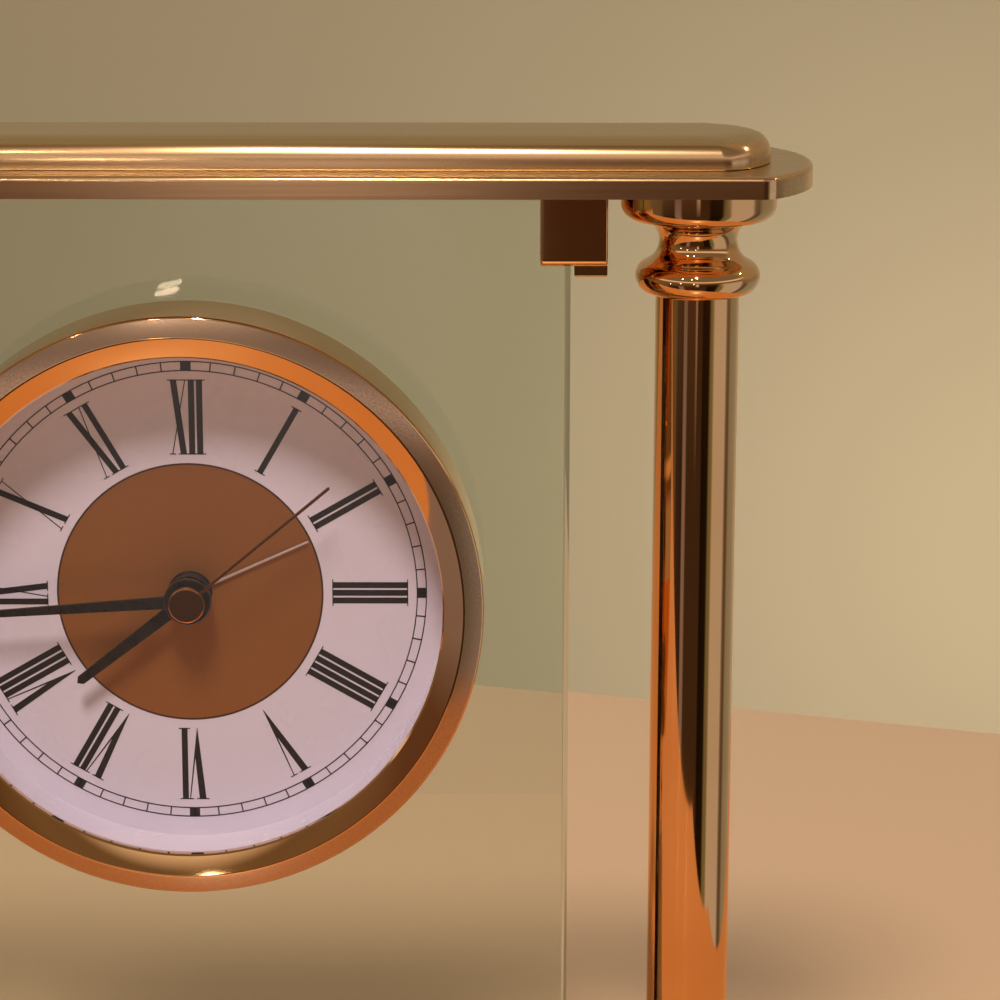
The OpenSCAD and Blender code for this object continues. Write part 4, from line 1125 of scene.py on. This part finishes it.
def ray_masks(tree):
    """1 for a ray that comes straight or through glass, and 1 for one that metal has mirrored."""
    path = add(tree, "ShaderNodeLightPath")
    scatters = path.outputs["Diffuse Depth"]
    mirrors = path.outputs["Glossy Depth"]
    either = add(tree, "ShaderNodeMath", {0: scatters, 1: mirrors}, operation="ADD").outputs[0]
    straight = add(tree, "ShaderNodeMath", {0: either}, {1: 0.5}, operation="LESS_THAN").outputs[0]
    clean = add(tree, "ShaderNodeMath", {0: scatters}, {1: 0.5}, operation="LESS_THAN").outputs[0]
    mirrored = add(tree, "ShaderNodeMath", {0: clean, 1: mirrors}, operation="MULTIPLY",
                   use_clamp=True).outputs[0]
    return straight, mirrored


def floor_material():
    """Pale where it is seen, and the honey of lit wood where the metal mirrors it."""
    material, tree, shader = new_material("painted board")
    shader.inputs["Roughness"].default_value = 0.26
    shader.inputs["Specular IOR Level"].default_value = 0.9
    tree.links.new(blend(tree, ray_masks(tree)[1], colour("#F0C694"), colour("#FFB064")),
                   shader.inputs["Base Color"])
    return material


def make_stage():
    """A pale floor, a smaller table for the metal to mirror, and a wall behind the clock."""
    board = floor_material()
    table_edges = [REAR_EDGE, TABLE_CORNER, TABLE_RIGHT]
    staged(floor_sheet("near_floor", TABLE_FRONT, 0, table_edges), board)
    far = floor_sheet("far_floor", FLOOR_FRONT, FLOOR_Z_FAR, [REAR_EDGE])
    far.visible_glossy = False
    staged(far, board)
    wall = draw("wall", WALL_EDGE)
    open_mesh(wall)
    extrude((WALL_L, 0, 0))
    close_mesh()
    wall.visible_glossy = False
    staged(wall, backdrop_material("painted wall", "#C2B083"))


def add_lamp(name, place, aim, energy, size, tone):
    """A round soft lamp, turned towards its aim."""
    data = bpy.data.lights.new(name, "AREA")
    data.energy = energy
    data.shape = "DISK"
    data.size = size
    data.color = colour(tone)[:3]
    lamp = bpy.data.objects.new(name, data)
    bpy.context.scene.collection.objects.link(lamp)
    direction = Vector(aim) - Vector(place)
    lamp.location = place
    lamp.rotation_euler = direction.to_track_quat("-Z", "Y").to_euler()
    return lamp


def ramp(tree, source, stops):
    """A colour ramp from (place, colour) stops, with their places between 0 and 1."""
    node = add(tree, "ShaderNodeValToRGB", {"Fac": source})
    elements = node.color_ramp.elements
    while len(elements) < len(stops):
        elements.new(0.5)
    # Places come first, because a stop that moves can change its number
    for element, (place, code) in zip(elements, stops):
        element.position = place
    for element, (place, code) in zip(elements, stops):
        element.color = colour(code)
    return node.outputs["Color"]


def rising(tree, source, low, high):
    """0 below one value and 1 above another, with an even slope between them."""
    return add(tree, "ShaderNodeMapRange", {"Value": source},
               {"From Min": low, "From Max": high}).outputs[0]


def make_room():
    """Even soft light for the surfaces, and a room of panels and flags for the reflections."""
    world = bpy.data.worlds.new("studio")
    bpy.context.scene.world = world
    world.use_nodes = True
    # Its soft light is even and its panels are only mirrored, so it isn't sampled as a lamp
    world.cycles.sampling_method = "NONE"
    tree = world.node_tree
    tree.nodes.clear()
    way = add(tree, "ShaderNodeTexCoord").outputs["Generated"]
    parts = add(tree, "ShaderNodeSeparateXYZ", {"Vector": way})
    turn_round = add(tree, "ShaderNodeTexGradient", {"Vector": way}, gradient_type="RADIAL")
    bearing = turn_round.outputs["Fac"]
    height = parts.outputs["Z"]
    level = ramp(tree, bearing, [((a + 90) / 360, c) for a, c in ROOM])
    middle = ramp(tree, bearing, [((a + 90) / 360, c) for a, c in MIDDLE])
    front = ramp(tree, height, FRONT)
    high = blend(tree, rising(tree, parts.outputs["Y"], -0.15, 0.15), front, colour(HIGH_WALL))
    low = blend(tree, rising(tree, height, -0.24, -0.1), level, middle)
    room = blend(tree, rising(tree, height, 0.0, 0.14), low, high)
    seen = add(tree, "ShaderNodeBackground", {"Color": room})
    soft = add(tree, "ShaderNodeBackground", values={"Color": colour("#EEE6F0"), "Strength": 0.22})
    straight, mirrored = ray_masks(tree)
    pale = add(tree, "ShaderNodeBackground", values={"Color": colour(PALE)})
    for factor, other in ((mirrored, seen), (straight, pale)):
        soft = add(tree, "ShaderNodeMixShader",
                   {0: factor, 1: soft.outputs[0], 2: other.outputs[0]})
    add(tree, "ShaderNodeOutputWorld", {"Surface": soft.outputs[0]})


def make_lights():
    """One soft key lamp, a wash on the wall, and small lamps that only metal and glass show."""
    for name, light in (("key", KEY), ("wall_wash", WALL_WASH)):
        add_lamp(name, *light).visible_glossy = False
    for number, (bearing, rise, energy) in enumerate(LAMPS):
        turned = math.radians(bearing)
        reach = LAMP_REACH * math.cos(math.radians(rise))
        place = (reach * math.sin(turned), -reach * math.cos(turned),
                 LAMP_AIM[2] + LAMP_REACH * math.sin(math.radians(rise)))
        lamp = add_lamp(f"lamp_{number}", place, LAMP_AIM, energy, LAMP_SIZE, LAMP_TONE)
        lamp.visible_camera = False
        lamp.visible_diffuse = False


# The clock, piece by piece
add_camera()
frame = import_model()
NODES = frame["nodes"]
MADE = make_materials()
make_plates()
make_columns()
make_clips()
make_insert()
make_print()
make_hands()
make_screws()
make_battery()
make_case()
make_clamp_ring()
keep_solids()
make_stage()
make_room()
make_lights()
bpy.context.scene.view_settings.view_transform = "Standard"
